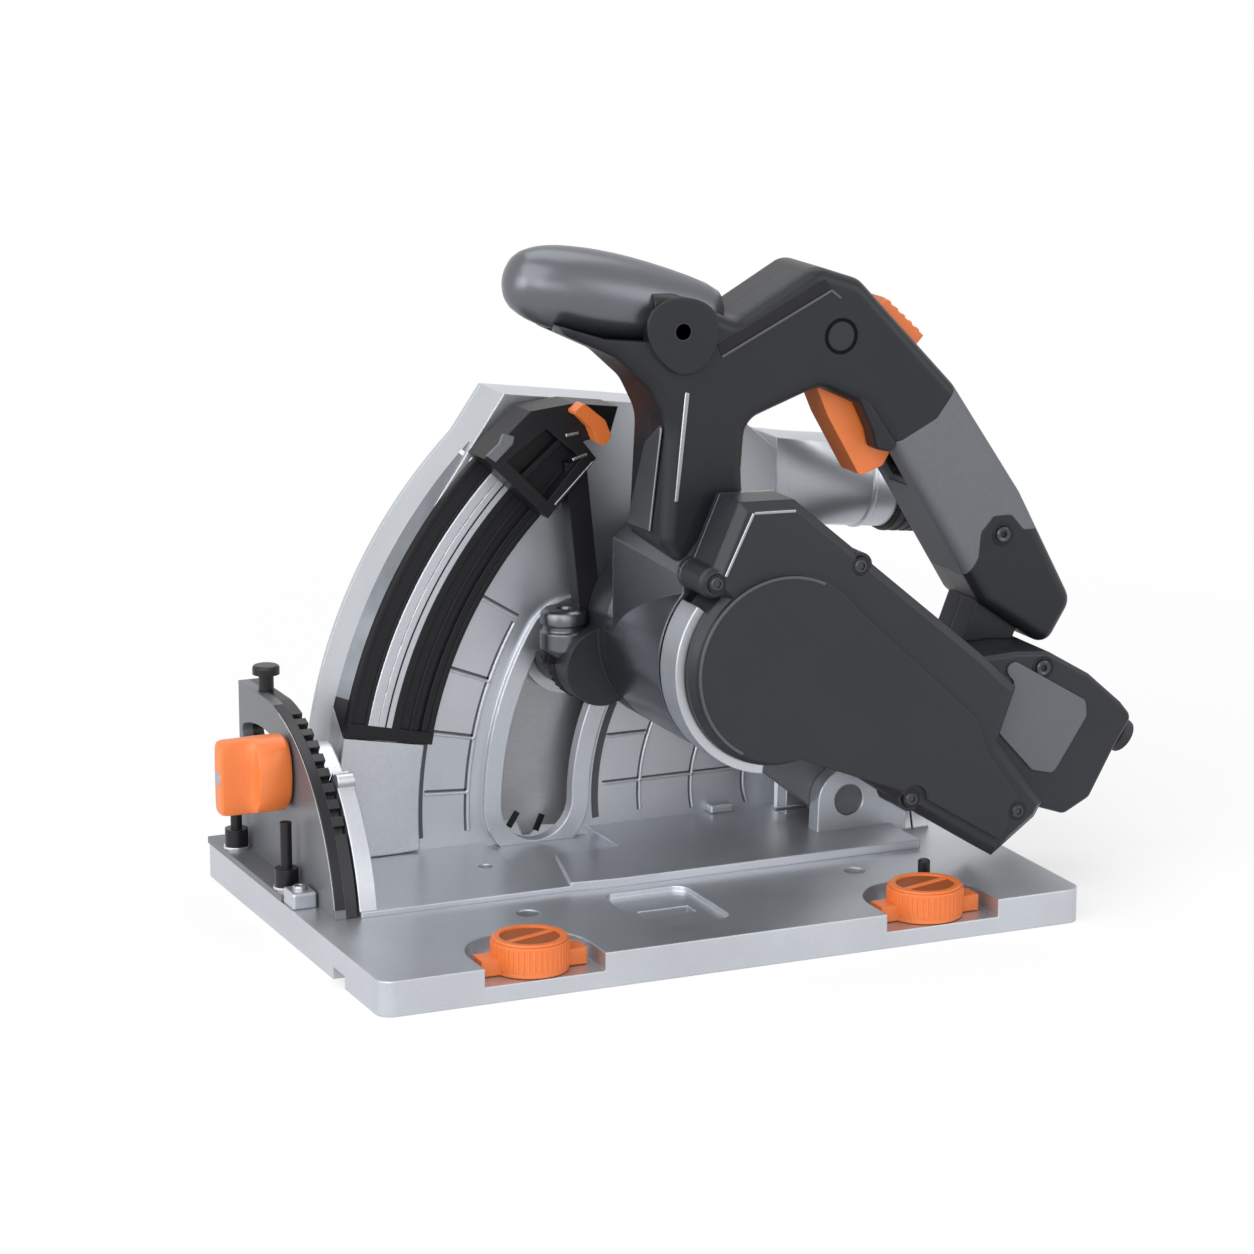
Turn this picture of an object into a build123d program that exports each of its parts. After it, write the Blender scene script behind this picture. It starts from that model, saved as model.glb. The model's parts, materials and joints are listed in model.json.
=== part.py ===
from build123d import *
import os
from math import acos, asin, atan2, cos, degrees, hypot, pi, radians, sin, tan

os.makedirs("parts", exist_ok=True)

# Plunge circular saw. X runs to the rear (the saw cuts towards -X), -Y is the motor side, Z is up.
# The origin is the middle of the sole, on the surface that the saw slides on. Sizes are millimetres.

# Base plate
plate_length = 290.0
plate_width = 200.0
plate_thickness = 13.5
plate_corner = 6.0
window_wall = 6.5             # strip of plate beyond the blade window
window_front_gap = 5.0        # room for the guard inside the window
groove_y = -56.0              # guide rail groove under the plate
groove_width = 13.0
groove_depth = 5.0
cam_x = (-80.5, 84.0)         # the two rail cams
cam_y = -85.0
cam_radius = 14.5
cam_height = 11.5
cam_ear_height = 6.3
cam_dish_floor = 5.2           # inside the cam, above its underside
cam_rim = 2.6
cam_bar = 3.2
cam_ear_reach = 21.0
cam_ear_width = 9.0
cam_pocket_radius = 24.0
cam_floor = 6.5               # plate left under a cam
cam_pin_radius = 4.0
bolt_hole_x = (-64.0, 75.0)   # plain holes for fastening the plate to a jig
bolt_hole_y = -43.0
bolt_hole_radius = 4.5
recess_x = -12.0              # shallow recess with a small window
recess_y = -56.0
recess_length = 35.0
recess_width = 46.0
recess_depth = 2.2
recess_window_length = 21.0
recess_window_width = 8.0
stop_pin_x = 93.0
stop_pin_y = -67.0
stop_pin_radius = 2.4
stop_pin_height = 16.0         # above the floor of the cam's pocket
stop_pin_seat = 4.0

# Cutting plane and bevel tilt: the tilt axis lies along X where the blade meets the sole
cut_y = 59.0
bevel_limit = 45.0
quadrant_radius = 82.5
quadrant_front_x = -134.0
quadrant_thickness = 9.0
quadrant_top = 84.0
quadrant_far_y = 87.0
quadrant_foot_length = 11.0
quadrant_foot_height = 2.6
quadrant_foot_near_y = 8.0
quadrant_foot_far_y = 97.0
notch_count = 9
notch_pitch = 5.0             # degrees
notch_start = 33.0            # degrees above the level
notch_depth = 3.0
notch_width = 3.4
ear_gap = 1.0                 # between a quadrant and the ear that slides on it
ear_thickness = 7.0
ear_inner_radius = 54.0
ear_top_angle = 50.0
ear_nub_radius = 3.0
ear_nub_set = 3.0             # degrees below the ear's top
clamp_radius = 66.0
clamp_angle = 63.5
clamp_bolt_radius = 3.0
clamp_slot_clearance = 0.4
clamp_boss_radius = 10.0
stud_y = (17.0, 77.0)
stud_radius = 2.3
stud_height = 29.0
stud_seat = 6.0
nut_radius = 4.6
nut_height = 7.0
washer_radius = 5.2
washer_height = 1.2
bevel_pin_y = 66.0
bevel_pin_radius = 3.0
bevel_pin_length = 16.0
bevel_pin_seat = 9.0
bevel_pin_head_radius = 5.4
bevel_pin_head_height = 3.6
knob_hub_radius = 9.0
knob_depth = 28.0
knob_hub_depth = 5.5
knob_height = 32.0
knob_wing = 20.0
knob_scoop_radius = 15.0
knob_scoop_depth = 4.0
knob_tip_radius = 5.5
rear_quadrant_x = 124.0
rear_quadrant_radius = 60.0
rear_quadrant_thickness = 7.0
rear_quadrant_top = 52.0
rear_quadrant_far_y = 72.0
rear_clamp_radius = 44.0
rear_clamp_angle = 60.0
rear_ear_inner_radius = 34.0
rear_foot_length = 9.0
rear_foot_screw_y = (25.0, 64.0)

# Tilting flange
flange_front_height = 2.2
flange_height = 3.6
flange_near_y = -26.0
flange_front_near_y = -24.0
flange_step_x = (-38.0, -20.0)
flange_rear_x = 113.0
flange_link_lap = 4.0          # strip that joins the flange to the rear ear
flange_link_near_y = 2.0
flange_link_far_y = 43.0
flange_hole_x = -58.0
flange_hole_y = 14.0
flange_hole_radius = 3.0

# Plunge pivot
pivot_x = 94.0
pivot_z = 29.0
pivot_pin_radius = 6.4
pivot_pin_recess = 1.5
lug_near_y = 0.0
lug_thickness = 8.0
lug_radius = 13.5
lug_foot_front = 14.0
lug_foot_rear = 26.0
lug_heel = 4.0
lug_gap = 0.4
arm_width = 11.0
arm_boss_radius = 11.2
arm_top_reach = 31.0           # corners of the arm inside the gear case's outline
arm_top_angles = (239.7, 338.2)
arm_foot_angles = (215.0, 40.0)
bush_radius = 8.6
bush_length = 5.0
spring_room = 9.8             # between the arm and the far lug
spring_wire = 1.8
spring_radius = 8.6
spring_pitch = 2.5
spring_half_turns = 5
spring_leg = 20.0

# Blade, arbor and plunge travel
arbor_swing = 118.0           # from the plunge pivot to the arbor
arbor_rest_angle = 31.5
plunge_range = 31.0
blade_radius = 80.0
blade_thickness = 1.8
blade_teeth = 28
blade_tooth_depth = 5.0
blade_slot_count = 4
blade_slot_length = 13.0
blade_slot_width = 2.0
blade_slot_angle = 8.0
arbor_radius = 6.0
inner_flange_radius = 19.0
inner_flange_thickness = 5.4
outer_flange_radius = 18.0
outer_flange_thickness = 3.2
spigot_radius = 8.0
blade_bolt_head = 7.5
blade_bolt_head_height = 4.6
blade_bolt_radius = 3.0
blade_bolt_length = 16.0

# Guard
guard_near_y = 46.0
guard_wall = 3.0
guard_depth = 24.0
guard_radius = 207.0          # about the plunge pivot
guard_top_angle = 46.5
guard_crown = (-36.0, 197.0)
guard_ridge = (15.0, 190.0)
guard_back_top = (62.0, 183.0)
guard_back_shoulder = 166.0
guard_back_x = 83.0
guard_edge_chamfer = 4.0
guard_pad_inner = 169.0        # raised pad below the depth track, radius about the pivot
guard_pad_gap = 0.4
cover_thickness = 2.5
cover_lift = 5.0
cover_screw_head = 3.6
cover_screw_head_height = 2.2
cover_screw_radius = 1.6
cover_boss_radius = 4.6
slot_clearance = 0.5
slot_lip_width = 7.5
slot_lip_height = 2.5
track_inner = 166.0           # depth track, radii about the plunge pivot
track_outer = 203.0
track_start = 10.5
track_end = 52.0
track_thickness = 3.0
track_groove_radius = 172.0
track_groove_width = 1.4
scale_inner = 181.0
scale_outer = 190.0
scale_thickness = 0.8

# Dust port
port_window_width = 16.0
port_window_height = 28.0
port_z = 152.0
port_wall = 2.0
port_collar_width = 25.0
port_collar_height = 37.0
port_run = 42.0
port_drop = 4.5
port_radius = 19.0
port_straight = 12.0
sleeve_length = 16.0
sleeve_radius = 16.4           # bore that takes the hose
sleeve_lip = 1.2

# Gear train: two stages of spur gears between motor and arbor
gear_module = 1.0
arbor_gear_teeth = 25
idler_pinion_teeth = 16
idler_gear_teeth = 30
motor_pinion_teeth = 13
pressure_angle = 24.0
tooth_backlash = 0.22
idler_angle = 14.0            # from the arbor up to the idler shaft
motor_angle = 23.0            # from the idler shaft up to the motor shaft
second_stage_y = 25.0
second_stage_width = 7.0
first_stage_y = 16.5
first_stage_width = 6.0
idler_shaft_radius = 4.0
gear_side_gap = 0.5

# Gear case
case_radius = 42.0
case_wall = 2.5
case_far_y = 28.0
case_near_y = 10.0
neck_radius = 14.8
neck_far_y = 51.0
arbor_bearing_radius = 12.0
arbor_bearing_width = 6.0
arbor_chamber_wall = 1.6
arbor_chamber_gap = 0.6
running_clearance = 0.05
press_clearance = 0.02

# Motor
housing_near_y = -41.0
housing_flange = 3.0
shoulder_front_x = -8.9
shoulder_far_y = 2.0
bearing_plate_thickness = 5.0
front_bearing_radius = 14.0
front_bearing_width = 8.0
front_bearing_hub = 3.0
motor_shaft_radius = 6.0
pinion_shaft_radius = 4.0
fan_radius = 34.0
fan_far_y = 0.0
fan_thickness = 2.0
fan_blade_height = 3.6
fan_blades = 11
fan_blade_place = 23.8
fan_blade_length = 17.0
fan_blade_thickness = 1.6
fan_blade_lean = 25.0
fan_hub_wall = 3.0
field_far_y = -10.0
field_length = 28.0
field_yoke = 7.3
field_pole_half_angle = 42.0
field_coil_half_angle = 40.0
field_coil_overhang = 3.5
armature_radius = 20.0
armature_air_gap = 0.5
armature_slots = 12
armature_slot_width = 2.6
armature_slot_depth = 6.0
winding_radius = 17.0
winding_overhang = 3.6
commutator_radius = 11.0
commutator_far_y = -46.6
commutator_length = 7.4
commutator_bars = 20
commutator_bar_gap = 0.6
brush_plate_far_y = -44.0
brush_plate_thickness = 2.0
brush_width = 6.0
brush_height = 7.0
brush_length = 12.0
brush_gap = 0.1
brush_tube_wall = 1.8
rear_bearing_radius = 11.0
rear_bearing_width = 7.0
rear_shaft_radius = 4.0
bearing_race = 2.4
bearing_ring_gap = 0.3

# Side cover and the housing behind it
cover_face_y = -64.0
cover_wall = 2.5
cover_boss = 36.5
cover_round = 38.5
cover_raise = 2.0
cover_edge = 3.2
cover_post_radius = 5.2
cover_screw_spots = ((5.0, 139.5), (65.5, 141.0), (88.8, 46.5), (136.0, 36.0))
housing_screw_radius = 1.8
housing_screw_head = 3.6
housing_screw_head_height = 2.6
seat_wall = 2.6
ring_outer = 42.4
ring_length = 14.0
ring_start = 142.0
ring_end = 262.0
rear_near_y = -54.0
rear_far_y = -8.0
rear_wall = 2.6
rear_edge = 4.0
rear_part_gap = 0.3
panel_thickness = 1.0
panel_corner = 3.0
module_x = 92.0               # electronics inside the side cover
module_z = 92.0
module_length = 30.0
module_height = 20.0
module_lean = -38.0
gland_radius = 8.5
gland_tip_radius = 6.2
gland_bore = 3.6
gland_length = 15.0

# Handle
handle_mid_y = -18.0
handle_half = 18.0
handle_round = 5.0
handle_wall = 5.0
handle_gap = 0.2
stem_far_y = -7.0
stem_depth = 23.0
hub_boss_radius = 13.5
hub_boss_proud = 1.2
hub_x = 2.5
hub_z = 230.5
egg_tip_x = -61.0
egg_tip_z = 253.0
egg_end_x = 25.0
egg_end_z = 233.5
egg_radius = 16.4
egg_nose_radius = 14.6
egg_shoulder_radius = 12.4
egg_end_radius = 5.0
egg_nose_share = 0.16         # places along the egg's length
egg_middle_share = 0.4
egg_shoulder_share = 0.75
egg_end_slope = -0.6
egg_bolt_radius = 3.0
grip_sleeve_depth = 2.6
trigger_width = 15.0
trigger_gap = 0.6
trigger_corner = 1.6
trigger_pin_radius = 2.5
trigger_pin_x = 70.0
trigger_pin_z = 225.0
trigger_pin_head = 6.0
trigger_pin_head_depth = 2.0
lock_x = 99.5
lock_z = 225.0
lock_length = 24.0
lock_width = 14.0
lock_proud = 5.0
lock_travel = 3.0
lock_corner = 1.5
switch_x = 111.0
switch_z = 195.0
switch_length = 24.0
switch_height = 9.0
grip_angle = -55.0

# Depth stop
block_gap = 0.5
block_corners = (              # radius and angle about the plunge pivot
    (208.0, 45.0),
    (208.0, 52.2),
    (199.0, 56.6),
    (187.0, 61.0),
    (180.0, 58.6),
    (184.0, 55.0),
    (175.0, 55.2),
    (171.0, 45.2),
)
block_depth = 17.0
block_pocket = ((200.0, 46.6), (198.0, 52.4), (179.0, 53.6), (176.0, 46.8))
block_pocket_depth = 8.0
block_rib = ((190.0, 46.8), (190.0, 53.0), (187.5, 53.0), (187.5, 46.8))
block_rib_height = 4.0
strut_width = 9.0
strut_depth = 8.0
strut_top_radius = 178.0
strut_top_angle = 53.0
saddle_wall = 4.0
lever_radius = 189.6
lever_angle = 57.1
lever_corners = (              # from the lever's pin
    (-10.0, 4.4),
    (-5.0, 8.0),
    (3.8, 0.8),
    (6.4, -5.6),
    (3.4, -9.4),
    (0.6, -8.0),
    (-1.8, -2.2),
    (-6.4, 2.4),
)
lever_rounding = 1.2
lever_depth = 7.0
lever_pin_radius = 2.0
lever_pin_length = 8.0

# Shared clearances
seat_gap = 0.1
slide_gap = 0.3

# Worked-out places
plate_top = plate_thickness
plate_half_width = plate_width / 2
guard_far_y = guard_near_y + guard_depth
guard_inner_y = guard_near_y + guard_wall
flange_top = plate_top + flange_height
arm_near_y = lug_near_y + lug_thickness + lug_gap
arm_far_y = arm_near_y + arm_width
lug_far_y = arm_far_y + spring_room
case_inner_y = case_far_y - case_wall
case_inner_radius = case_radius - case_wall
ear_front_x = quadrant_front_x + quadrant_thickness + ear_gap
rear_ear_x = rear_quadrant_x - ear_gap - ear_thickness
idler_distance = gear_module * (arbor_gear_teeth + idler_pinion_teeth) / 2
motor_distance = gear_module * (idler_gear_teeth + motor_pinion_teeth) / 2
blade_near_y = cut_y - blade_thickness / 2
blade_far_y = cut_y + blade_thickness / 2
handle_near_y = handle_mid_y - handle_half
handle_far_y = handle_mid_y + handle_half


def around(centre, radius, angle):
    """Point of a side view or end view at this radius, with the angle up from the +X or +Y side."""
    return (centre[0] + radius * cos(radians(angle)), centre[1] + radius * sin(radians(angle)))


pivot = (pivot_x, pivot_z)
bevel = (cut_y, 0.0)


def swing(radius, angle):
    """Side-view point forward of the plunge pivot, this angle above the level."""
    return around(pivot, radius, 180 - angle)


def tilt(radius, angle):
    """End-view point on the near side of the bevel axis, this angle above the level."""
    return around(bevel, radius, 180 - angle)


arbor = swing(arbor_swing, arbor_rest_angle)
idler = around(arbor, idler_distance, idler_angle)
motor = around(idler, motor_distance, motor_angle)


def side(y):
    """Plane seen from the near side: its x is X, its y is Z, and an extrusion goes towards -Y."""
    return Plane(origin=(0, y, 0), x_dir=(1, 0, 0), z_dir=(0, -1, 0))


def end(x):
    """Plane across the saw: its x is Y, its y is Z, and an extrusion goes towards +X."""
    return Plane(origin=(x, 0, 0), x_dir=(0, 1, 0), z_dir=(1, 0, 0))


def level(z):
    """Level plane at this height, on which an extrusion goes up."""
    return Plane.XY.offset(z)


def finish(piece, name):
    """Labels a finished piece and writes its STEP file."""
    piece.part.label = name
    export_step(piece.part, f"parts/{name}.step")


def polygon(points):
    """Closed face through these points, in the sketch that is open."""
    Polygon(*points, align=None)


def rounded_polygon(points, radius):
    """Closed face through these points, with its corners rounded, in the sketch that is open."""
    with BuildLine() as outline:
        FilletPolyline(*points, radius=radius, close=True)
    make_face(outline.edges())


def sector(centre, inner, outer, first, last):
    """Closed face between two radii and two angles, in the sketch that is open."""
    with BuildLine() as outline:
        outside = CenterArc(centre, outer, first, last - first)
        inside = CenterArc(centre, inner, first, last - first)
        Line(outside @ 0, inside @ 0)
        Line(outside @ 1, inside @ 1)
    make_face(outline.edges())


def arc_slot(centre, radius, first, last, width):
    """Slot of this width along an arc, with round ends, in the sketch that is open."""
    sector(centre, radius - width / 2, radius + width / 2, first, last)
    with Locations(around(centre, radius, first), around(centre, radius, last)):
        Circle(width / 2)


def disc_between(centre, radius, far_y, near_y, mode=Mode.ADD):
    """Cylinder across the saw between two depths, in the part that is open."""
    with BuildSketch(side(far_y)) as face:
        with Locations(centre):
            Circle(radius)
    extrude(face.sketch, amount=far_y - near_y, mode=mode)


def involute(angle):
    """Involute function of a pressure angle, in radians."""
    return tan(angle) - angle


def gear_face(centre, teeth, tooth_angle):
    """Spur gear face with one tooth pointing at tooth_angle, in the sketch that is open."""
    pitch_radius = gear_module * teeth / 2
    root_radius = pitch_radius - 1.2 * gear_module
    tip_radius = pitch_radius + 0.9 * gear_module
    base_radius = pitch_radius * cos(radians(pressure_angle))
    half_pitch = pi / (2 * teeth) - tooth_backlash / (2 * pitch_radius)
    flank_start = max(base_radius, root_radius + 0.05 * gear_module)
    below_root = root_radius - 0.2 * gear_module
    half_tip = (pitch_radius + tip_radius) / 2
    radii = [below_root, flank_start, pitch_radius, half_tip, tip_radius]
    rising = []
    for radius in radii:
        pressure = acos(base_radius / max(radius, flank_start))
        half = half_pitch + involute(radians(pressure_angle)) - involute(pressure)
        rising.append((radius * cos(half), -radius * sin(half)))
    falling = [(x, -y) for x, y in reversed(rising)]
    with Locations(centre):
        Circle(root_radius)
        with PolarLocations(0, teeth, start_angle=tooth_angle):
            polygon(rising + falling)


def bearing(centre, outer, inner, far_y, width):
    """Closed ball bearing between two depths, with grooved sides, in the part that is open."""
    disc_between(centre, outer - press_clearance, far_y, far_y - width)
    disc_between(centre, inner + press_clearance, far_y, far_y - width, Mode.SUBTRACT)
    groove_outer = outer - bearing_race
    groove_inner = inner + bearing_race
    for start in (far_y, far_y - width + bearing_ring_gap):
        with BuildSketch(side(start)) as groove:
            with Locations(centre):
                Circle(groove_outer)
                Circle(groove_inner, mode=Mode.SUBTRACT)
        extrude(groove.sketch, amount=bearing_ring_gap, mode=Mode.SUBTRACT)


# Base plate
window_far_y = plate_half_width - window_wall
guard_low_angle = -degrees(asin((pivot_z - plate_top) / guard_radius))
guard_front_x = swing(guard_radius, guard_low_angle)[0]
window_front_x = guard_front_x - window_front_gap
window_rear_x = guard_back_x + window_front_gap
window_near_y = guard_inner_y + seat_gap
with BuildPart() as base_plate:
    with BuildSketch(level(0)):
        RectangleRounded(plate_length, plate_width, plate_corner)
    extrude(amount=plate_thickness)
    with BuildSketch(level(0)):
        with Locations(((window_front_x + window_rear_x) / 2, (window_near_y + window_far_y) / 2)):
            Rectangle(window_rear_x - window_front_x, window_far_y - window_near_y)
    extrude(amount=plate_thickness, mode=Mode.SUBTRACT)
    with BuildSketch(level(0)):
        with Locations((0, groove_y)):
            Rectangle(plate_length, groove_width)
    extrude(amount=groove_depth, mode=Mode.SUBTRACT)
    with BuildSketch(level(cam_floor)):
        for x in cam_x:
            with Locations((x, cam_y)):
                Circle(cam_pocket_radius)
            with Locations((x, (cam_y - plate_half_width) / 2)):
                Rectangle(2 * cam_pocket_radius, plate_half_width + cam_y)
    extrude(amount=plate_thickness - cam_floor, mode=Mode.SUBTRACT)
    with BuildSketch(level(0)):
        for x in cam_x:
            with Locations((x, cam_y)):
                Circle(cam_pin_radius + running_clearance)
        for x in bolt_hole_x:
            with Locations((x, bolt_hole_y)):
                Circle(bolt_hole_radius)
    extrude(amount=plate_thickness, mode=Mode.SUBTRACT)
    with BuildSketch(level(plate_top - recess_depth)):
        with Locations((recess_x, recess_y)):
            RectangleRounded(recess_length, recess_width, plate_corner)
    extrude(amount=recess_depth, mode=Mode.SUBTRACT)
    with BuildSketch(level(0)):
        with Locations((recess_x, groove_y)):
            Rectangle(recess_window_length, recess_window_width)
    extrude(amount=plate_thickness, mode=Mode.SUBTRACT)
    with BuildSketch(level(cam_floor - stop_pin_seat)):
        with Locations((stop_pin_x, stop_pin_y)):
            Circle(stop_pin_radius + press_clearance)
    extrude(amount=stop_pin_seat, mode=Mode.SUBTRACT)
    stud_x = quadrant_front_x - quadrant_foot_length / 2
    with BuildSketch(level(plate_top - stud_seat)):
        for y in stud_y:
            with Locations((stud_x, y)):
                Circle(stud_radius + press_clearance)
    extrude(amount=stud_seat, mode=Mode.SUBTRACT)
    rear_foot_x = rear_quadrant_x + rear_quadrant_thickness + rear_foot_length / 2
    with BuildSketch(level(plate_top - stud_seat)):
        for y in rear_foot_screw_y:
            with Locations((rear_foot_x, y)):
                Circle(housing_screw_radius + press_clearance)
    extrude(amount=stud_seat, mode=Mode.SUBTRACT)
finish(base_plate, "base_plate")

# Pin that stops the rear cam
with BuildPart() as base_pin:
    with BuildSketch(level(cam_floor - stop_pin_seat)):
        with Locations((stop_pin_x, stop_pin_y)):
            Circle(stop_pin_radius)
    extrude(amount=stop_pin_seat + stop_pin_height)
    chamfer(base_pin.edges().group_by(Axis.Z)[-1], stop_pin_radius / 4)
finish(base_pin, "base_pin")


def rail_cam(x, name):
    """Finger knob that turns an eccentric against the guide rail."""
    bottom = cam_floor + slide_gap
    with BuildPart() as cam:
        with BuildSketch(level(bottom)):
            with Locations((x, cam_y)):
                Circle(cam_radius)
                Rectangle(2 * cam_ear_reach, cam_ear_width)
        extrude(amount=cam_ear_height)
        with BuildSketch(level(bottom)):
            with Locations((x, cam_y)):
                Circle(cam_radius)
        extrude(amount=cam_height)
        with BuildSketch(level(bottom + cam_dish_floor)):
            with Locations((x, cam_y)):
                Circle(cam_radius - cam_rim)
                Rectangle(2 * cam_radius, cam_bar, mode=Mode.SUBTRACT)
        extrude(amount=cam_height, mode=Mode.SUBTRACT)
        with BuildSketch(level(seat_gap)):
            with Locations((x, cam_y)):
                Circle(cam_pin_radius)
        extrude(amount=bottom - seat_gap)
    finish(cam, name)


for cam_spot, cam_name in zip(cam_x, ("rail_cam_front", "rail_cam_rear")):
    rail_cam(cam_spot, cam_name)

# Front quadrant with its bevel notches and clamp slot
clamp_slot_width = 2 * (clamp_bolt_radius + clamp_slot_clearance)
clamp_first = 180 - clamp_angle - bevel_limit
clamp_last = 180 - clamp_angle
notch_angles = [180 - notch_start - step * notch_pitch for step in range(notch_count)]
quadrant_foot_top = plate_top + quadrant_foot_height
quadrant_low_angle = degrees(asin(plate_top / quadrant_radius))
quadrant_high_angle = degrees(asin(min(quadrant_top, quadrant_radius - 0.5) / quadrant_radius))
with BuildPart() as front_quadrant:
    with BuildSketch(end(quadrant_front_x)):
        with BuildLine():
            rim_turn = quadrant_high_angle - quadrant_low_angle
            rim = CenterArc(bevel, quadrant_radius, 180 - quadrant_high_angle, rim_turn)
            Polyline(rim @ 0, (quadrant_far_y, (rim @ 0).Y), (quadrant_far_y, plate_top), rim @ 1)
        make_face()
    extrude(amount=quadrant_thickness)
    with BuildSketch(end(quadrant_front_x)):
        arc_slot(bevel, clamp_radius, clamp_first, clamp_last, clamp_slot_width)
    extrude(amount=quadrant_thickness, mode=Mode.SUBTRACT)
    for angle in notch_angles:
        notch_y, notch_z = around(bevel, quadrant_radius - notch_depth, angle)
        notch_plane = Plane(
            origin=(quadrant_front_x + quadrant_thickness, notch_y, notch_z),
            x_dir=(1, 0, 0),
            z_dir=(0, cos(radians(angle)), sin(radians(angle))),
        )
        with BuildSketch(notch_plane):
            Rectangle(quadrant_thickness, notch_width)
        extrude(amount=2 * notch_depth, mode=Mode.SUBTRACT)
    with BuildSketch(level(plate_top)):
        with Locations((stud_x, (quadrant_foot_near_y + quadrant_foot_far_y) / 2)):
            Rectangle(quadrant_foot_length, quadrant_foot_far_y - quadrant_foot_near_y)
    extrude(amount=quadrant_foot_height)
    with BuildSketch(level(plate_top)):
        for y in stud_y:
            with Locations((stud_x, y)):
                Circle(stud_radius + press_clearance)
    extrude(amount=quadrant_foot_height, mode=Mode.SUBTRACT)
    bevel_pin_x = quadrant_front_x + quadrant_thickness / 2
    quadrant_height = quadrant_radius * sin(radians(quadrant_high_angle))
    with BuildSketch(level(quadrant_height - bevel_pin_seat - slide_gap)):
        with Locations((bevel_pin_x, bevel_pin_y)):
            Circle(bevel_pin_radius + running_clearance)
    extrude(amount=bevel_pin_seat + slide_gap + quadrant_radius, mode=Mode.SUBTRACT)
finish(front_quadrant, "front_quadrant")

# Studs with their nuts, and the washers under them, on the quadrant's foot
with BuildPart() as quadrant_studs:
    with BuildSketch(level(plate_top - stud_seat)):
        for y in stud_y:
            with Locations((stud_x, y)):
                Circle(stud_radius)
    extrude(amount=stud_seat + stud_height)
    with BuildSketch(level(quadrant_foot_top + washer_height)):
        for y in stud_y:
            with Locations((stud_x, y)):
                Circle(nut_radius)
    extrude(amount=nut_height)
finish(quadrant_studs, "quadrant_studs")

with BuildPart() as quadrant_washers:
    with BuildSketch(level(quadrant_foot_top)):
        for y in stud_y:
            with Locations((stud_x, y)):
                Circle(washer_radius)
                Circle(stud_radius + seat_gap, mode=Mode.SUBTRACT)
    extrude(amount=washer_height)
finish(quadrant_washers, "quadrant_washers")

# Spring-loaded stop pin in the top of the quadrant
with BuildPart() as bevel_stop_pin:
    with BuildSketch(level(quadrant_height - bevel_pin_seat)):
        with Locations((bevel_pin_x, bevel_pin_y)):
            Circle(bevel_pin_radius)
    extrude(amount=bevel_pin_length)
    with BuildSketch(level(quadrant_height - bevel_pin_seat + bevel_pin_length)):
        with Locations((bevel_pin_x, bevel_pin_y)):
            Circle(bevel_pin_head_radius)
    extrude(amount=bevel_pin_head_height)
    fillet(bevel_stop_pin.edges().group_by(Axis.Z)[-1], bevel_pin_head_height / 3)
finish(bevel_stop_pin, "bevel_stop_pin")

# Rear quadrant
rear_low_angle = degrees(asin(plate_top / rear_quadrant_radius))
rear_high_angle = degrees(asin(rear_quadrant_top / rear_quadrant_radius))
rear_first = 180 - rear_clamp_angle - bevel_limit
rear_last = 180 - rear_clamp_angle
with BuildPart() as rear_quadrant:
    with BuildSketch(end(rear_quadrant_x)):
        with BuildLine():
            rim_turn = rear_high_angle - rear_low_angle
            rim = CenterArc(bevel, rear_quadrant_radius, 180 - rear_high_angle, rim_turn)
            far_top = (rear_quadrant_far_y, rear_quadrant_top)
            Polyline(rim @ 0, far_top, (rear_quadrant_far_y, plate_top), rim @ 1)
        make_face()
    extrude(amount=rear_quadrant_thickness)
    with BuildSketch(end(rear_quadrant_x)):
        arc_slot(bevel, rear_clamp_radius, rear_first, rear_last, clamp_slot_width)
    extrude(amount=rear_quadrant_thickness, mode=Mode.SUBTRACT)
    rear_foot_near_y = rear_foot_screw_y[0] - 2 * housing_screw_head
    rear_foot_far_y = rear_foot_screw_y[1] + 2 * housing_screw_head
    with BuildSketch(level(plate_top)):
        with Locations((rear_foot_x, (rear_foot_near_y + rear_foot_far_y) / 2)):
            Rectangle(rear_foot_length, rear_foot_far_y - rear_foot_near_y)
    extrude(amount=quadrant_foot_height)
    with BuildSketch(level(plate_top)):
        for y in rear_foot_screw_y:
            with Locations((rear_foot_x, y)):
                Circle(housing_screw_radius + press_clearance)
    extrude(amount=quadrant_foot_height, mode=Mode.SUBTRACT)
finish(rear_quadrant, "rear_quadrant")

with BuildPart() as rear_quadrant_screws:
    with BuildSketch(level(plate_top - stud_seat)):
        for y in rear_foot_screw_y:
            with Locations((rear_foot_x, y)):
                Circle(housing_screw_radius)
    extrude(amount=stud_seat + quadrant_foot_height)
    with BuildSketch(level(quadrant_foot_top)):
        for y in rear_foot_screw_y:
            with Locations((rear_foot_x, y)):
                Circle(housing_screw_head)
    extrude(amount=housing_screw_head_height)
finish(rear_quadrant_screws, "rear_quadrant_screws")

# Tilting flange with its two ears and the plunge lugs
clamp_spot = tilt(clamp_radius, clamp_angle)
rear_clamp_spot = tilt(rear_clamp_radius, rear_clamp_angle)
slot_low_angle = arbor_rest_angle - plunge_range
slot_bottom = swing(arbor_swing, slot_low_angle)
slot_half = neck_radius + slot_clearance
flange_front_x = ear_front_x
flange_notch_depth = guard_near_y - second_stage_y + second_stage_width + case_wall + slide_gap + 1
rear_ear_end_x = rear_ear_x + ear_thickness


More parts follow.
